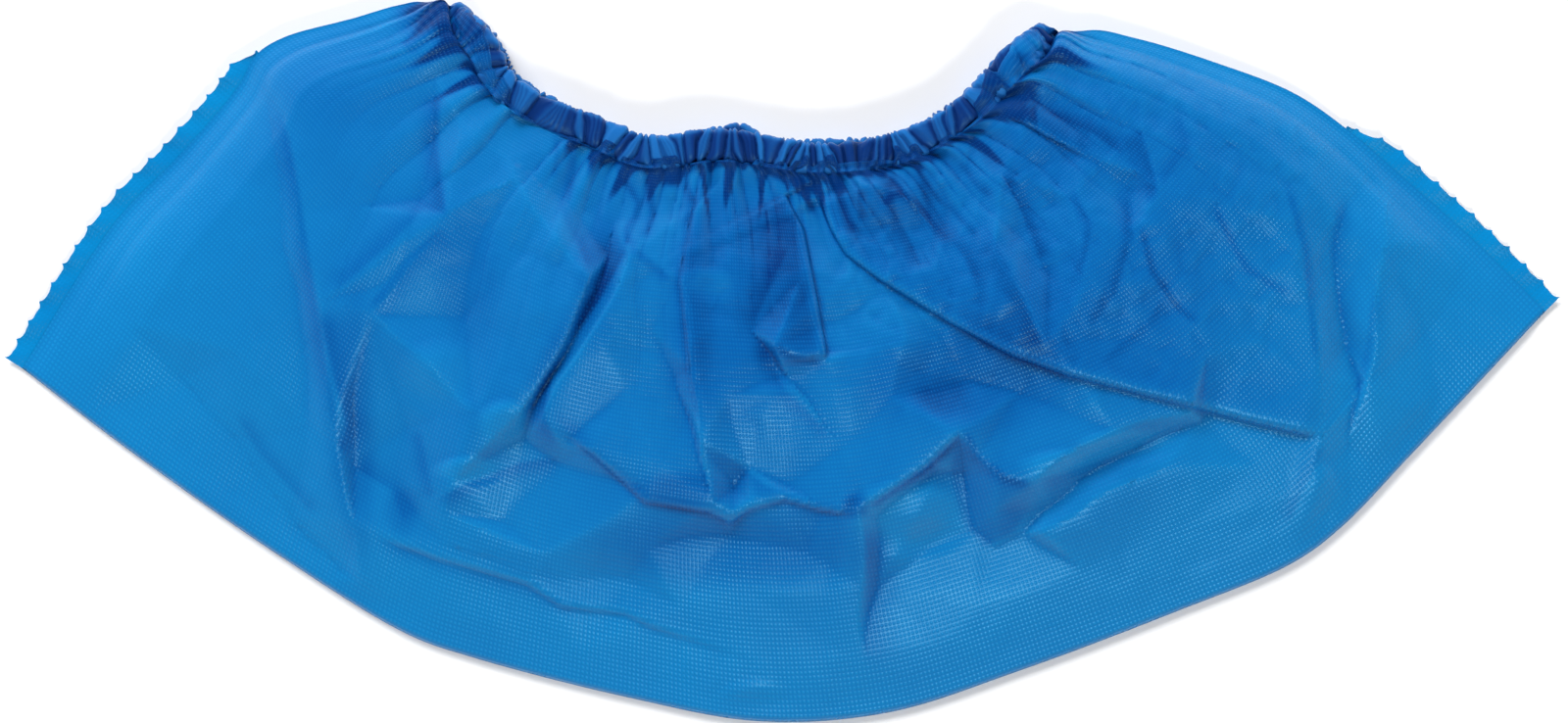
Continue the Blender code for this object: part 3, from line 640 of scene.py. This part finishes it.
def corner_fill(drawing):
    """Shift on the drawing of the film near the mouth's corners."""
    shift = np.zeros(drawing.shape)
    for corner, move in CORNER_FILLS:
        away = np.linalg.norm(drawing - np.array(corner), axis=-1) / CORNER_REACH
        shift += np.exp(-(away**2))[..., None] * np.array(move)
    return shift


def wander(drawing):
    """Small smooth shifts that bend the facets' straight lines, in units of the drawing."""
    x, y = drawing[..., 0], drawing[..., 1]
    across = 3.6 * np.sin(y / 31 + 0.7 * np.sin(x / 47)) + 1.6 * np.sin((x + y) / 17 + 1.1)
    down = 3.2 * np.sin(x / 37 + 0.8 * np.sin(y / 53) + 2) + 1.6 * np.sin((x - y) / 19)
    return np.stack([across, down], axis=-1)


def smooth_grid(values, rounds):
    """Averages each value with its neighbours on the grid."""
    for _ in range(rounds):
        padded = np.pad(values, 1, mode="edge")
        values = 0.5 * values + 0.125 * (
            padded[:-2, 1:-1] + padded[2:, 1:-1] + padded[1:-1, :-2] + padded[1:-1, 2:]
        )
    return values


def hem_path(count):
    """Places along the rim and runs of the hem's sections, once round the mouth."""
    setback = HEM_SETBACK / RIM.length
    turn = MOUTH_TURN / RIM.length
    straight = 1 - 2 * setback - 2 * turn
    arc = math.pi / 2 * (MOUTH_TURN + HEM_REACH) / RIM.length
    half = straight + arc
    places, lifts = [], []
    for k in range(count):
        way = (k / count) * 2 * half
        run = 1 if way < half else -1
        way = way % half
        if way < arc / 2:
            angle = way / arc * math.pi
            place = turn * (1 - math.cos(angle))
            lift = math.sin(angle)
        elif way < arc / 2 + straight:
            place = turn + way - arc / 2
            lift = 1.0
        else:
            angle = (half - way) / arc * math.pi
            place = 2 * turn + straight - turn * (1 - math.cos(angle))
            lift = math.sin(angle)
        place = setback + place
        places.append(place if run > 0 else 1 - place)
        lifts.append(run * lift)
    return np.array(places), np.array(lifts)


class Pleats:
    """The hem's pleats: where each starts, in metres round the mouth, and how each one lies."""

    def __init__(self, seed, around):
        random = np.random.default_rng(seed)
        starts = [0.0]
        while starts[-1] < around - 0.006:
            share = starts[-1] / around
            broad_left = 1.5 * math.exp(-(((share - 0.09) / 0.07) ** 2))
            broad_right = 0.9 * math.exp(-(((share - 0.42) / 0.05) ** 2))
            width = random.uniform(0.0013, 0.0028) * random.choice([0.8, 1.0, 1.6])
            starts.append(starts[-1] + width * (1.0 + broad_left + broad_right))
        self.starts = np.array(starts)
        self.widths = np.diff(np.append(self.starts, around))
        count = len(starts)
        self.tall = random.uniform(0.55, 1.0, count)
        self.skew = random.uniform(0.36, 0.64, count)
        self.tone = random.uniform(0.0, 1.0, count)
        self.reach = self.widths * random.uniform(1.4, 4.0, count)
        self.streak = random.uniform(0.0015, 0.0100, count) * random.choice([0.6, 1.0, 1.9], count)
        self.streak_width = random.uniform(0.0005, 0.0024, count)
        self.drift = random.uniform(-0.22, 0.22, count)
        self.around = around

    def find(self, way):
        """Which pleat each place is in, and the share across it."""
        way = np.mod(way, self.around)
        which = np.searchsorted(self.starts, way, side="right") - 1
        which = np.clip(which, 0, len(self.starts) - 1)
        return which, (way - self.starts[which]) / self.widths[which]

    def crest(self, way):
        """Height of the pleats' crests, 0 in the creases between them, and which pleats they are."""
        which, share = self.find(way)
        skew = self.skew[which]
        bent = np.where(share < skew, 0.5 * share / skew, 0.5 + 0.5 * (share - skew) / (1 - skew))
        return self.tall[which] * np.clip(4 * bent * (1 - bent), 0, 1) ** 0.62, which

    def streaks(self, way, distance):
        """Dark wedges that run from the creases into the film."""
        dark = np.zeros(way.shape)
        for start, length, width, drift in zip(self.starts, self.streak, self.streak_width, self.drift):
            near = np.clip(1 - distance / length, 0, 1)
            middle = start + drift * distance
            aside = (way - middle) / (width * (0.2 + near))
            dark = np.maximum(dark, np.exp(-(aside**4)) * ease(near * 1.8))
        return dark


def leftward(forward):
    """Directions in plan turned a quarter to the left."""
    return np.stack([-forward[:, 1], forward[:, 0]], axis=1)


HEM_STATIONS = 1500
HEM_SIDES = 44
# How far the hem's lower run shows past the upper one, with its widest place on the drawing
PEEK = 0.0004
PEEK_WIDEST = (752, 16, 0.0018)


def hem_line():
    """The hem's middle line, its outward direction in plan, and the length run along it."""
    places, lifts = hem_path(HEM_STATIONS)
    outward = leftward(RIM.direction(places))
    middle = to_frame(RIM.at(places)) + outward * HEM_WIDTH / 2
    at, reach, most = PEEK_WIDEST
    peek = PEEK + most * np.exp(-(((to_drawing(middle)[:, 0] - at) / reach) ** 2))
    middle = middle + outward * (np.clip(-lifts, 0, 1) * peek)[:, None]
    path = np.column_stack([middle, MIDDLE_HEM_HEIGHT + HEM_REACH * lifts])
    steps = np.linalg.norm(np.roll(path, -1, axis=0) - path, axis=1)
    way = np.concatenate([[0.0], np.cumsum(steps)])
    return places, lifts, path, outward, way[:-1], way[-1]


HEM_PLACES, HEM_LIFTS, HEM_LINE, HEM_OUTWARD, HEM_WAY, HEM_AROUND = hem_line()
PLEATS = Pleats(17, HEM_AROUND)


def way_of_place(place):
    """Length round the hem at a share of the upper rim."""
    upper = HEM_LIFTS > 0
    return np.interp(place, HEM_PLACES[upper], HEM_WAY[upper])


def slanted_way(way, across):
    """Length round the hem that a pleat's line starts from, as the pleats run aslant over it."""
    return way + across * (0.0016 * np.sin(way * 330) + 0.0005 * np.sin(way * 1190 + 2))


def hem_full(crest):
    """Share of the hem's half thickness that its pleats leave."""
    return 0.44 + 0.60 * crest


def mouth_corners(place):
    """1 at the mouth's left and at its right corner, falling to 0 away from each."""
    return np.exp(-((place / 0.11) ** 2)), np.exp(-(((1 - place) / 0.09) ** 2))


COLUMNS = 421
UPPER_ROWS = 180
LOWER_ROWS = 26
COVER_ROWS = 10  # rows of the film that lie over the hem
HEM_DISTANCE = 0.1  # metres from the sole fold to the hem, near enough for what fades from the hem
END_FADE = 0.03  # share of the length over which folds fade at each end


def hem_laps(place, way):
    """How far the film laps over the hem along the mouth, as a share of the hem's width."""
    uneven = PLEATS.tone[PLEATS.find(way)[0]]
    ragged = 0.5 + 0.5 * np.sin(way * 95 + 2.2 * np.sin(way * 37 + 1))
    left, right = mouth_corners(place)
    lap = 0.04 + 0.48 * uneven**3 + 0.30 * ragged**3 + 0.95 * left + 0.95 * right
    lap = np.clip(np.convolve(np.pad(lap, 1, mode="edge"), (0.25, 0.5, 0.25), "valid"), 0.0, 1.0)
    return lap * np.sqrt(np.clip(np.minimum(place, 1 - place) / 0.014, 0, 1))


def film_over_hem(place, start_height):
    """Rows of film that lap over the hem, which they cover whole at the mouth's corners."""
    way = way_of_place(place)
    lap = hem_laps(place, way)
    lapped = ease((lap - 0.06) / 0.12)
    left, right = mouth_corners(place)
    corner = 0.8 * left + 0.8 * right
    outward = leftward(RIM.direction(place))
    rim = to_frame(RIM.at(place))
    middle = rim_height(place, 1)
    rows, heights, shades = [], [], []
    for k in range(1, COVER_ROWS + 1):
        share = k / COVER_ROWS
        across = -1 + 2 * lap * share
        crest, which = PLEATS.crest(slanted_way(way, across))
        wide = np.sign(across) * np.abs(across) ** 0.9
        top = np.sqrt(np.clip(1 - np.abs(across) ** 2.2, 0, 1))
        top = np.where(across < 0, np.maximum(top, 0.85), top)
        relief = crest + corner * (0.8 - crest)
        height = middle + HEM_THICKNESS / 2 * top * hem_full(relief) + 0.0004 + 0.0005 * corner
        if k == COVER_ROWS:
            height = height - 0.0007
        blend = ease(share * 2.2)
        climbed = blend * lapped
        height = start_height * (1 - climbed) + height * climbed
        heights.append(height - 0.0005 * share * (1 - lapped))
        row = rim + outward * ((wide + 1) / 2 * HEM_WIDTH)[:, None]
        rows.append(row)
        # Painted light on the pleats' crests and painted shade between them, with each pleat's own tone
        shade = 0.84 + 0.16 * blend - 0.34 * (crest - 0.4) + 0.26 * (PLEATS.tone[which] - 0.5)
        shade = shade - 0.03 * left - 0.26 * right
        shades.append(shade + blobs(to_drawing(row), LAP_SPOTS))
    return np.array(rows), np.array(heights), np.array(shades)


def crumple_folds(drawing):
    """Millimetres of the small random creases between the main folds."""
    coarse = smooth_grid(random_facets(drawing, 46, 3), 3)
    tiny = ease(blobs(drawing, TINY_SPOTS)) * random_facets(drawing, 13, 4)
    fine = 0.6 * coarse + 0.34 * random_facets(drawing, 24, 8) + 0.30 * tiny
    return (0.22 + blobs(drawing, CRUMPLED_SPOTS)) * fine


def film_shade(drawing, height, added):
    """How much darker the film looks: more film; painted shade over air, beside creases, in hollows;
    painted light on ridges and tilts.
    """
    shade = 0.30 * ease((height - 0.005) / 0.018)
    shade = shade + blobs(drawing, SHADE_SPOTS) - TILT_LIGHTER * blobs(drawing, TILTS)
    # Painted shade in hollows and valleys, painted light on ridges
    hollow_shade = np.clip((smooth_grid(added, 14) - added) / 0.6, -0.8, 1.4)
    crease = np.clip((smooth_grid(added, 3) - added) / 0.16, -1.0, 1.4)
    return shade + 0.17 * hollow_shade + 0.11 * crease


def shade_at_hem(shade, drawing, place, distance, crest, which):
    """The film's shade with the pleats' dark wedges, painted shade in their creases, painted light on
    their crests, and the dark band along the hem.
    """
    way = way_of_place(place)
    shade = shade + 1.0 * PLEATS.streaks(way, distance) * faded(place, 0.02, 0.02)
    # Painted shade in the creases between the pleats, near the hem
    shade = shade + 0.65 * np.clip(0.5 - crest, 0, 0.5) * np.exp(-distance / 0.005)
    band = 0.0010 + 0.0050 * PLEATS.tone[which] ** 2 + 0.0010 * np.sin(way * 190)
    band = band + blobs(drawing, BAND_SPOTS)
    shade = shade + 0.58 * ease((band + 0.0012 - distance) / 0.0024) * (1.0 + 0.8 * (0.5 - crest))
    left, right = mouth_corners(place)
    clear = 1 - 0.8 * left - 0.8 * right
    # Dark along the rim, with painted light on the pleats' crests
    edge = (0.93 - 0.25 * (crest - 0.4)) * ease((0.0016 - distance) / 0.0014)
    return np.maximum(shade, edge * faded(place, END_FADE, END_FADE) * clear)


def upper_film():
    """The upper film, from the sole fold up over the hem: places, heights, shares and values."""
    place, rise = np.meshgrid(np.linspace(0, 1, COLUMNS), np.linspace(0, 1, UPPER_ROWS))
    drawing = to_drawing(to_frame(plan(place, rise)))
    inner = ((place > 0.015) & (place < 0.985) & (rise > 0.03) & (rise < 0.96))[..., None]
    bent = drawing + wander(drawing)
    on_crease = np.where(inner, snap_to_creases(bent, 1.7), bent)
    lips, layers_and_lip_shadow, lipped = overlap_folds(drawing)
    drawn = drawing + on_crease - bent + np.where(inner, lipped - drawing, 0)

    at_rim = faded(place, END_FADE, END_FADE)
    inside = at_rim * faded(rise, 0.06, 0.07)
    facets = 0.66 * main_folds(on_crease) + 0.60 * smooth_grid(main_folds(bent), 24)
    facets = facets + tilted_parts(drawing)
    distance = (1 - rise) * HEM_DISTANCE
    way = way_of_place(place)
    crest, which = PLEATS.crest(way + 0.0006 * np.sin(distance * 190 + place * 40))
    gathers = (crest - 0.5) * np.exp(-distance / (0.003 + PLEATS.reach[which]))
    wide = np.sin(way * 2 * math.pi / 0.0094 + 1.4 * np.sin(way * 260)) * np.exp(-distance / 0.016)
    rim_lift = 0.8 * np.exp(-((distance / 0.006) ** 2))
    added = inside * (facets + lips + crumple_folds(drawing))
    added = added + (rim_lift + 2.0 * gathers + 1.2 * wide) * at_rim

    height = upper_base(place, rise) + added * 0.001
    welded = np.exp(-((np.minimum(place, 1 - place) * BAG_LENGTH / 0.003) ** 2))
    height = height * (1 - welded) + (weld_height(rise) + LAYER_GAP) * welded
    height[0] = EDGE_HALF
    shade = film_shade(drawing, height, added) + (layers_and_lip_shadow + shade_lines(drawing)) * inside
    shade = shade_at_hem(shade, drawing, place, distance, crest, which)
    crumpled = 0.02 + blobs(drawing, WRINKLED_SPOTS) + 0.04 * np.exp(-distance / 0.012)

    over, over_height, over_shade = film_over_hem(place[0], height[-1])
    drawn = np.vstack([drawn, to_drawing(over)])
    height = np.vstack([height, over_height])
    shade = np.vstack([shade, over_shade])
    beyond = 1 + np.arange(1, COVER_ROWS + 1)[:, None] / COVER_ROWS * 0.05
    rise = np.vstack([rise, np.repeat(beyond, COLUMNS, axis=1)])
    place = np.vstack([place, np.repeat(place[:1], COVER_ROWS, axis=0)])
    crumpled = np.vstack([crumpled, np.repeat(crumpled[-1:], COVER_ROWS, axis=0)])
    return from_drawing(drawn + corner_fill(drawn)), height, place, rise, shade, crumpled


def lower_film():
    """The lower film, from the rim down to the sole fold: places, heights and shares."""
    down = np.linspace(1, 0, LOWER_ROWS, endpoint=False)
    place, rise = np.meshgrid(np.linspace(0, 1, COLUMNS), down)
    drawing = to_drawing(to_frame(plan(place, rise)))
    return from_drawing(drawing + corner_fill(drawing)), lower_base(place, rise), place, rise


def add_mesh(name, points, quads, attributes):
    """Object of a smooth mesh, with a value of each attribute at each point."""
    data = bpy.data.meshes.new(name)
    data.from_pydata(points.reshape(-1, 3).tolist(), [], quads.reshape(-1, 4).tolist())
    for key, values in attributes.items():
        vector = values.ndim == 3
        attribute = data.attributes.new(key, "FLOAT_VECTOR" if vector else "FLOAT", "POINT")
        field = "vector" if vector else "value"
        attribute.data.foreach_set(field, values.astype(np.float32).ravel())
    data.update()
    data.shade_smooth()
    piece = bpy.data.objects.new(name, data)
    bpy.context.scene.collection.objects.link(piece)
    return piece


def add_grid(name, points, attributes):
    """Object of a grid of points, one row after another."""
    rows, columns = points.shape[:2]
    number = np.arange(rows * columns).reshape(rows, columns)
    corners = [number[:-1, :-1], number[:-1, 1:], number[1:, 1:], number[1:, :-1]]
    return add_mesh(name, points, np.stack(corners, axis=-1), attributes)


def add_ring(name, points, attributes):
    """Object of a grid of points that is closed both ways."""
    number = np.arange(points.shape[0] * points.shape[1]).reshape(points.shape[:2])
    after = np.roll(number, -1, axis=0)
    corners = [number, np.roll(number, -1, axis=1), np.roll(after, -1, axis=1), after]
    return add_mesh(name, points, np.stack(corners, axis=-1), attributes)


def build_film():
    """The one sheet of film, its lower layer joined to its upper layer at the sole fold."""
    position, height, place, rise, shade, crumpled = upper_film()
    low_position, low_height, low_place, low_rise = lower_film()
    upper = np.concatenate([position, height[..., None]], axis=-1)
    lower = np.concatenate([low_position, low_height[..., None]], axis=-1)
    points = np.vstack([lower, upper])
    flat = np.zeros(points.shape)
    flat[..., 0] = np.vstack([low_place, place]) * FOLD_LENGTH
    flat[..., 1] = np.vstack([-low_rise, rise]) * LAYER_WIDTH
    shade = np.vstack([np.full(low_place.shape, 0.3), shade])
    values = {
        "flat": flat,
        "shade": np.clip(0.10 + 0.90 * shade, 0, 1),
        "crumple": np.vstack([np.full(low_place.shape, 0.03), crumpled]),
    }
    return add_grid("film_bag_sheet", points, values)


def build_hem():
    """The hem round the mouth, a flat roll of film that the elastic inside it draws into pleats."""
    path, outward, way = HEM_LINE, HEM_OUTWARD, HEM_WAY
    along = np.roll(path, -1, axis=0) - np.roll(path, 1, axis=0)
    along /= np.linalg.norm(along, axis=1, keepdims=True)
    sideways = np.column_stack([outward, np.zeros(len(path))])
    upward = np.cross(along, sideways)
    upward /= np.linalg.norm(upward, axis=1, keepdims=True)
    scallop = np.random.default_rng(9).uniform(-1, 1, HEM_STATIONS)
    scallop = (scallop + np.roll(scallop, 1) + np.roll(scallop, 2)) / 3
    bulge = 0.10 * np.sin(way * 128 + 1.7 * np.sin(way * 53))
    points = np.zeros((HEM_STATIONS, HEM_SIDES, 3))
    crests = np.zeros((HEM_STATIONS, HEM_SIDES))
    tones = np.zeros((HEM_STATIONS, HEM_SIDES))
    for n, turn in enumerate(np.linspace(0, 2 * math.pi, HEM_SIDES, endpoint=False)):
        across, up = math.cos(turn), math.sin(turn)
        slanted = slanted_way(way, across)
        crest, which = PLEATS.crest(slanted)
        tone = PLEATS.tone[which]
        fine = 0.5 + 0.5 * np.sin(slanted * 2 * math.pi / 0.00115 + 3 * np.sin(way * 900))
        full = np.minimum(hem_full(crest) + 0.06 * fine, 0.98)
        narrowed = 0.74 + 0.30 * crest + bulge if across > 0 else 0.92 + 0.30 * tone * crest
        wide = (HEM_WIDTH / 2) * np.sign(across) * abs(across) ** 0.75 * narrowed
        wide = wide + 0.00018 * scallop * max(across, 0) ** 2
        thick = (HEM_THICKNESS / 2) * math.copysign(abs(up) ** 0.6, up) * full
        points[:, n] = path + sideways * wide[:, None] + upward * thick[:, None]
        # Crest heights, which the hem's material paints lighter as painted light on the pleats
        crests[:, n] = crest
        crease_line = np.abs(np.sin(slanted * 1900 + 2.5 * np.sin(slanted * 700)))
        tones[:, n] = tone + 0.30 * crease_line - 0.15 + 0.45 * ease((across - 0.55) / 0.4)
    return add_ring("gathered_hem", points, {"pleat": crests, "tone": tones})


FLANGE_STEP = 0.00035  # between the flange's points along the weld
FLANGE_ROWS = 12
FLANGE_LAP = 0.0004  # the flange starts this far inside the weld
NIB = 0.0009  # height of the nibs that the torn perforation leaves


def build_flange(name, side):
    """Welded strip outside one end, torn off along its perforation."""
    outline = ENDS[side]
    reach, narrowing, taper, pitch, seed = FLANGES[side]
    count = int(outline.length * reach / FLANGE_STEP)
    share = np.linspace(0, reach, count)
    along = share * outline.length
    weld = to_frame(outline.at(share))
    outward = (1 if side == "left" else -1) * leftward(outline.direction(share))
    nib = (np.abs(along / pitch % 1 - 0.5) * 2) ** 5
    knots = np.arange(0, count + 3, 3)
    ragged = np.random.default_rng(seed).uniform(-1, 1, len(knots))
    ragged = np.interp(np.arange(count), knots, ragged)
    narrowed = 1 - narrowing * ease((share / reach - 1 + taper) / taper)
    width = (FLANGE_WIDTH - NIB) * narrowed + NIB * nib + 0.00012 * ragged
    points = np.zeros((count, FLANGE_ROWS, 3))
    flat = np.zeros(points.shape)
    for k, part in enumerate(np.linspace(0, 1, FLANGE_ROWS)):
        points[:, k, :2] = weld + outward * (width * part - FLANGE_LAP)[:, None]
        points[:, k, 2] = weld_height(share) + 0.0004 * np.sin(along * 700 + part * 1.5) * part
        flat[:, k, 0] = along
        flat[:, k, 1] = part * FLANGE_WIDTH
    return add_grid(name, points, {"flat": flat})


# Colours along a ramp: where each stands, and the colour
# The film's ramp from lightest to darkest blue: its shade picks the stop, for doubled film and for
# painted shade and light
FILM_COLOURS = (
    (0.0, (0.006, 0.200, 0.485)),
    (0.13, (0.005, 0.168, 0.438)),
    (0.62, (0.002, 0.093, 0.330)),
    (1.0, (0.001, 0.025, 0.146)),
)
# The hem's ramp: its lighter stops, reached on the pleats' crests, are painted light
HEM_COLOURS = (
    (0.1, (0.001, 0.009, 0.068)),
    (0.45, (0.003, 0.028, 0.160)),
    (0.85, (0.010, 0.116, 0.380)),
)
FLANGE_COLOURS = ((0.3, (0.002, 0.205, 0.492)), (0.7, (0.001, 0.170, 0.447)))
SKY_COLOURS = ((0.30, (1.0, 1.0, 1.0)), (0.62, (0.04, 0.04, 0.04)))

# Values that are the same all over a material
GLINT_TINT = (0.32, 0.80, 0.95, 1)
FILM_FINISH = {"IOR": 1.45, "Specular IOR Level": 0.34, "Specular Tint": GLINT_TINT}
HEM_FINISH = {"Specular IOR Level": 0.28, "Specular Tint": GLINT_TINT}
FLOOR_FINISH = {"Base Color": (0.93, 0.93, 0.93, 1), "Roughness": 0.9, "Specular IOR Level": 0.1}

EMBOSS_PITCH = 0.001  # from one embossed dot to the next on the flat sheet
# The wrinkles' noises: scale, amount and how far each is turned
WRINKLE_NOISES = ((42.0, 1.0, 0.5), (95.0, 0.6, 0.9), (190.0, 0.35, -0.4))


def node(tree, kind, **values):
    """A node with its settings, or its sockets where it has no such setting."""
    made = tree.nodes.new(kind)
    for key, value in values.items():
        if hasattr(made, key):
            setattr(made, key, value)
        else:
            made.inputs[key].default_value = value
    return made


def math_node(tree, operation, *values):
    """Result of a sum on numbers and sockets."""
    made = node(tree, "ShaderNodeMath", operation=operation)
    for k, value in enumerate(values):
        if isinstance(value, (int, float)):
            made.inputs[k].default_value = value
        else:
            tree.links.new(value, made.inputs[k])
    return made.outputs[0]


def attribute_output(tree, name, output="Fac"):
    """A value that the mesh has at each point."""
    return node(tree, "ShaderNodeAttribute", attribute_name=name).outputs[output]


def noise_output(tree, place, scale, detail, roughness, distortion=0.0):
    """Noise from 0 to 1 at a place."""
    made = node(tree, "ShaderNodeTexNoise", Scale=scale, Detail=detail, Roughness=roughness)
    made.inputs["Distortion"].default_value = distortion
    tree.links.new(place, made.inputs["Vector"])
    return made.outputs["Fac"]


def colour_ramp(tree, amount, colours, target):
    """Colours a socket by an amount, along a table of colours."""
    ramp = tree.nodes.new("ShaderNodeValToRGB")
    for k, (position, colour) in enumerate(colours):
        stop = ramp.color_ramp.elements[k] if k < 2 else ramp.color_ramp.elements.new(position)
        stop.position = position
        stop.color = (*colour, 1)
    tree.links.new(amount, ramp.inputs["Fac"])
    tree.links.new(ramp.outputs["Color"], target)


def uneven_gloss(tree, amount, low, high, shader):
    """Gives a shader a roughness between two values, by an amount."""
    gloss = tree.nodes.new("ShaderNodeMapRange")
    gloss.inputs["To Min"].default_value = low
    gloss.inputs["To Max"].default_value = high
    tree.links.new(amount, gloss.inputs["Value"])
    tree.links.new(gloss.outputs["Result"], shader.inputs["Roughness"])


def bump_normal(tree, height, strength, distance, below=None):
    """Normals of a relief that lies on the relief below it."""
    made = node(tree, "ShaderNodeBump", Strength=strength, Distance=distance)
    tree.links.new(height, made.inputs["Height"])
    if below is not None:
        tree.links.new(below, made.inputs["Normal"])
    return made.outputs["Normal"]


def emboss_height(tree):
    """Height pattern of the film's embossed dots, 0 to 1, from its flat coordinates."""
    split = tree.nodes.new("ShaderNodeSeparateXYZ")
    tree.links.new(attribute_output(tree, "flat", "Vector"), split.inputs[0])
    waves = []
    for k in range(2):
        turned = math_node(tree, "MULTIPLY", split.outputs[k], 2 * math.pi / EMBOSS_PITCH)
        waves.append(math_node(tree, "MULTIPLY_ADD", math_node(tree, "SINE", turned), 0.5, 0.5))
    return math_node(tree, "MULTIPLY", *waves)


def crinkle_height(tree, place):
    """Sharp meandering wrinkles, from the middle values of three noises."""
    total = 0.0
    for scale, amount, turn in WRINKLE_NOISES:
        stretch = tree.nodes.new("ShaderNodeMapping")
        stretch.inputs["Rotation"].default_value = (0, 0, turn)
        stretch.inputs["Scale"].default_value = (1.0, 0.38, 1.0)
        tree.links.new(place, stretch.inputs["Vector"])
        noise = noise_output(tree, stretch.outputs["Vector"], scale, 1.5, 0.5, 0.5)
        valley = math_node(tree, "ABSOLUTE", math_node(tree, "SUBTRACT", noise, 0.5))
        total = math_node(tree, "ADD", total, math_node(tree, "MULTIPLY", valley, -amount))
    return total


def new_material(name, finish):
    """A material with a finish, its node tree and its shader."""
    material = bpy.data.materials.new(name)
    material.use_nodes = True
    shader = material.node_tree.nodes["Principled BSDF"]
    for key, value in finish.items():
        shader.inputs[key].default_value = value
    return material, material.node_tree, shader


def film_material(name, colours, roughness, shaded=False):
    """Embossed film, which may be darker by its shade of more film and painted shade, painted also
    between its embossed dots, and finely wrinkled by its crumple.
    """
    material, tree, shader = new_material(name, FILM_FINISH)
    place = tree.nodes.new("ShaderNodeTexCoord").outputs["Object"]
    mottle = noise_output(tree, place, 38.0, 4.0, 0.55)
    dots = emboss_height(tree)
    amount = mottle
    if shaded:
        speckle = math_node(tree, "MULTIPLY_ADD", mottle, 0.25, -0.125)
        # Painted shade: darker between the embossed dots, lighter on them
        dimple_shade = math_node(tree, "MULTIPLY_ADD", dots, -0.20, 0.05)
        amount = math_node(tree, "ADD", attribute_output(tree, "shade"), speckle)
        amount = math_node(tree, "ADD", amount, dimple_shade)
    colour_ramp(tree, amount, colours, shader.inputs["Base Color"])
    uneven_gloss(tree, mottle, roughness - 0.06, roughness + 0.08, shader)
    normal = bump_normal(tree, dots, 0.6, 0.00011)
    grain = noise_output(tree, place, 260.0, 3.0, 0.6)
    normal = bump_normal(tree, grain, 0.16, 0.0004, normal)
    if shaded:
        crumple = attribute_output(tree, "crumple")
        wrinkles = math_node(tree, "MULTIPLY", crinkle_height(tree, place), crumple)
        normal = bump_normal(tree, wrinkles, 1.0, 0.006, normal)
    tree.links.new(normal, shader.inputs["Normal"])
    return material


def hem_material():
    """Film in fine pleats, with painted light on its crests, and lighter by each pleat's tone."""
    material, tree, shader = new_material("gathered_hem", HEM_FINISH)
    lit = math_node(tree, "MULTIPLY", attribute_output(tree, "pleat"), 0.45)
    toned = math_node(tree, "MULTIPLY", attribute_output(tree, "tone"), 0.55)
    amount = math_node(tree, "ADD", lit, toned)
    colour_ramp(tree, amount, HEM_COLOURS, shader.inputs["Base Color"])
    place = tree.nodes.new("ShaderNodeTexCoord").outputs["Object"]
    grain = noise_output(tree, place, 900.0, 3.0, 0.6)
    uneven_gloss(tree, grain, 0.3, 0.5, shader)
    tree.links.new(bump_normal(tree, grain, 0.4, 0.0003), shader.inputs["Normal"])
    return material


FLOOR_HALF = 3.0


def build_floor():
    """A plain pale floor."""
    corners = np.array([(-1, -1, 0), (1, -1, 0), (1, 1, 0), (-1, 1, 0)]) * FLOOR_HALF
    floor = add_mesh("floor", corners, np.arange(4), {})
    floor.data.materials.append(new_material("floor", FLOOR_FINISH)[0])


def add_light(name, place, size, power):
    """An oblong light that faces the cover."""
    data = bpy.data.lights.new(name, "AREA")
    data.shape = "RECTANGLE"
    data.size, data.size_y = size
    data.energy = power
    lamp = bpy.data.objects.new(name, data)
    bpy.context.scene.collection.objects.link(lamp)
    lamp.location = place
    lamp.rotation_mode = "QUATERNION"
    lamp.rotation_quaternion = (-Vector(place)).to_track_quat("-Z", "Y")
    return lamp


def add_world():
    """Pale surroundings, dimmer overhead so that the film's level parts keep their colour."""
    world = bpy.data.worlds.new("studio")
    world.use_nodes = True
    tree = world.node_tree
    background = tree.nodes["Background"]
    split = tree.nodes.new("ShaderNodeSeparateXYZ")
    tree.links.new(tree.nodes.new("ShaderNodeTexCoord").outputs["Generated"], split.inputs[0])
    colour_ramp(tree, split.outputs["Z"], SKY_COLOURS, background.inputs["Color"])
    background.inputs["Strength"].default_value = 1.35
    bpy.context.scene.world = world


CAMERA_DISTANCE = 2.5  # above the cover's middle height
COVER_MIDDLE = 0.006
SENSOR_WIDTH = 36.0


def set_camera():
    """A camera straight above the cover, which frames the whole drawing."""
    data = bpy.data.cameras.new("camera")
    data.sensor_width = SENSOR_WIDTH
    data.lens = SENSOR_WIDTH * CAMERA_DISTANCE / (DRAWING_SIZE[0] / DRAWING_UNITS)
    data.clip_start = 0.1
    data.clip_end = 20.0
    camera = bpy.data.objects.new("camera", data)
    bpy.context.scene.collection.objects.link(camera)
    middle = from_drawing(np.array(DRAWING_SIZE) / 2)
    camera.location = (*middle, CAMERA_DISTANCE + COVER_MIDDLE)
    bpy.context.scene.camera = camera


set_camera()
build_floor()
film = build_film()
hem = build_hem()
left_flange = build_flange("left_flange_strip", "left")
right_flange = build_flange("right_flange_strip", "right")

film.data.materials.append(film_material("film", FILM_COLOURS, 0.27, shaded=True))
hem.data.materials.append(hem_material())
flange_finish = film_material("flange", FLANGE_COLOURS, 0.36)
left_flange.data.materials.append(flange_finish)
right_flange.data.materials.append(flange_finish)

for piece, node_name, slot_name in (
    (film, "film_bag", "film"),
    (hem, "elastic_hem", "hem"),
    (left_flange, "left_end_flange", "flange"),
    (right_flange, "right_end_flange", "flange"),
):
    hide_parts(node_name)
    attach(piece, "root")

add_world()
add_light("key", (-0.6, 1.5, 1.6), (1.4, 0.9), 58).visible_glossy = False
add_light("glint", (0.30, -0.85, 1.6), (0.40, 0.30), 13)
bpy.context.scene.view_settings.view_transform = "Standard"
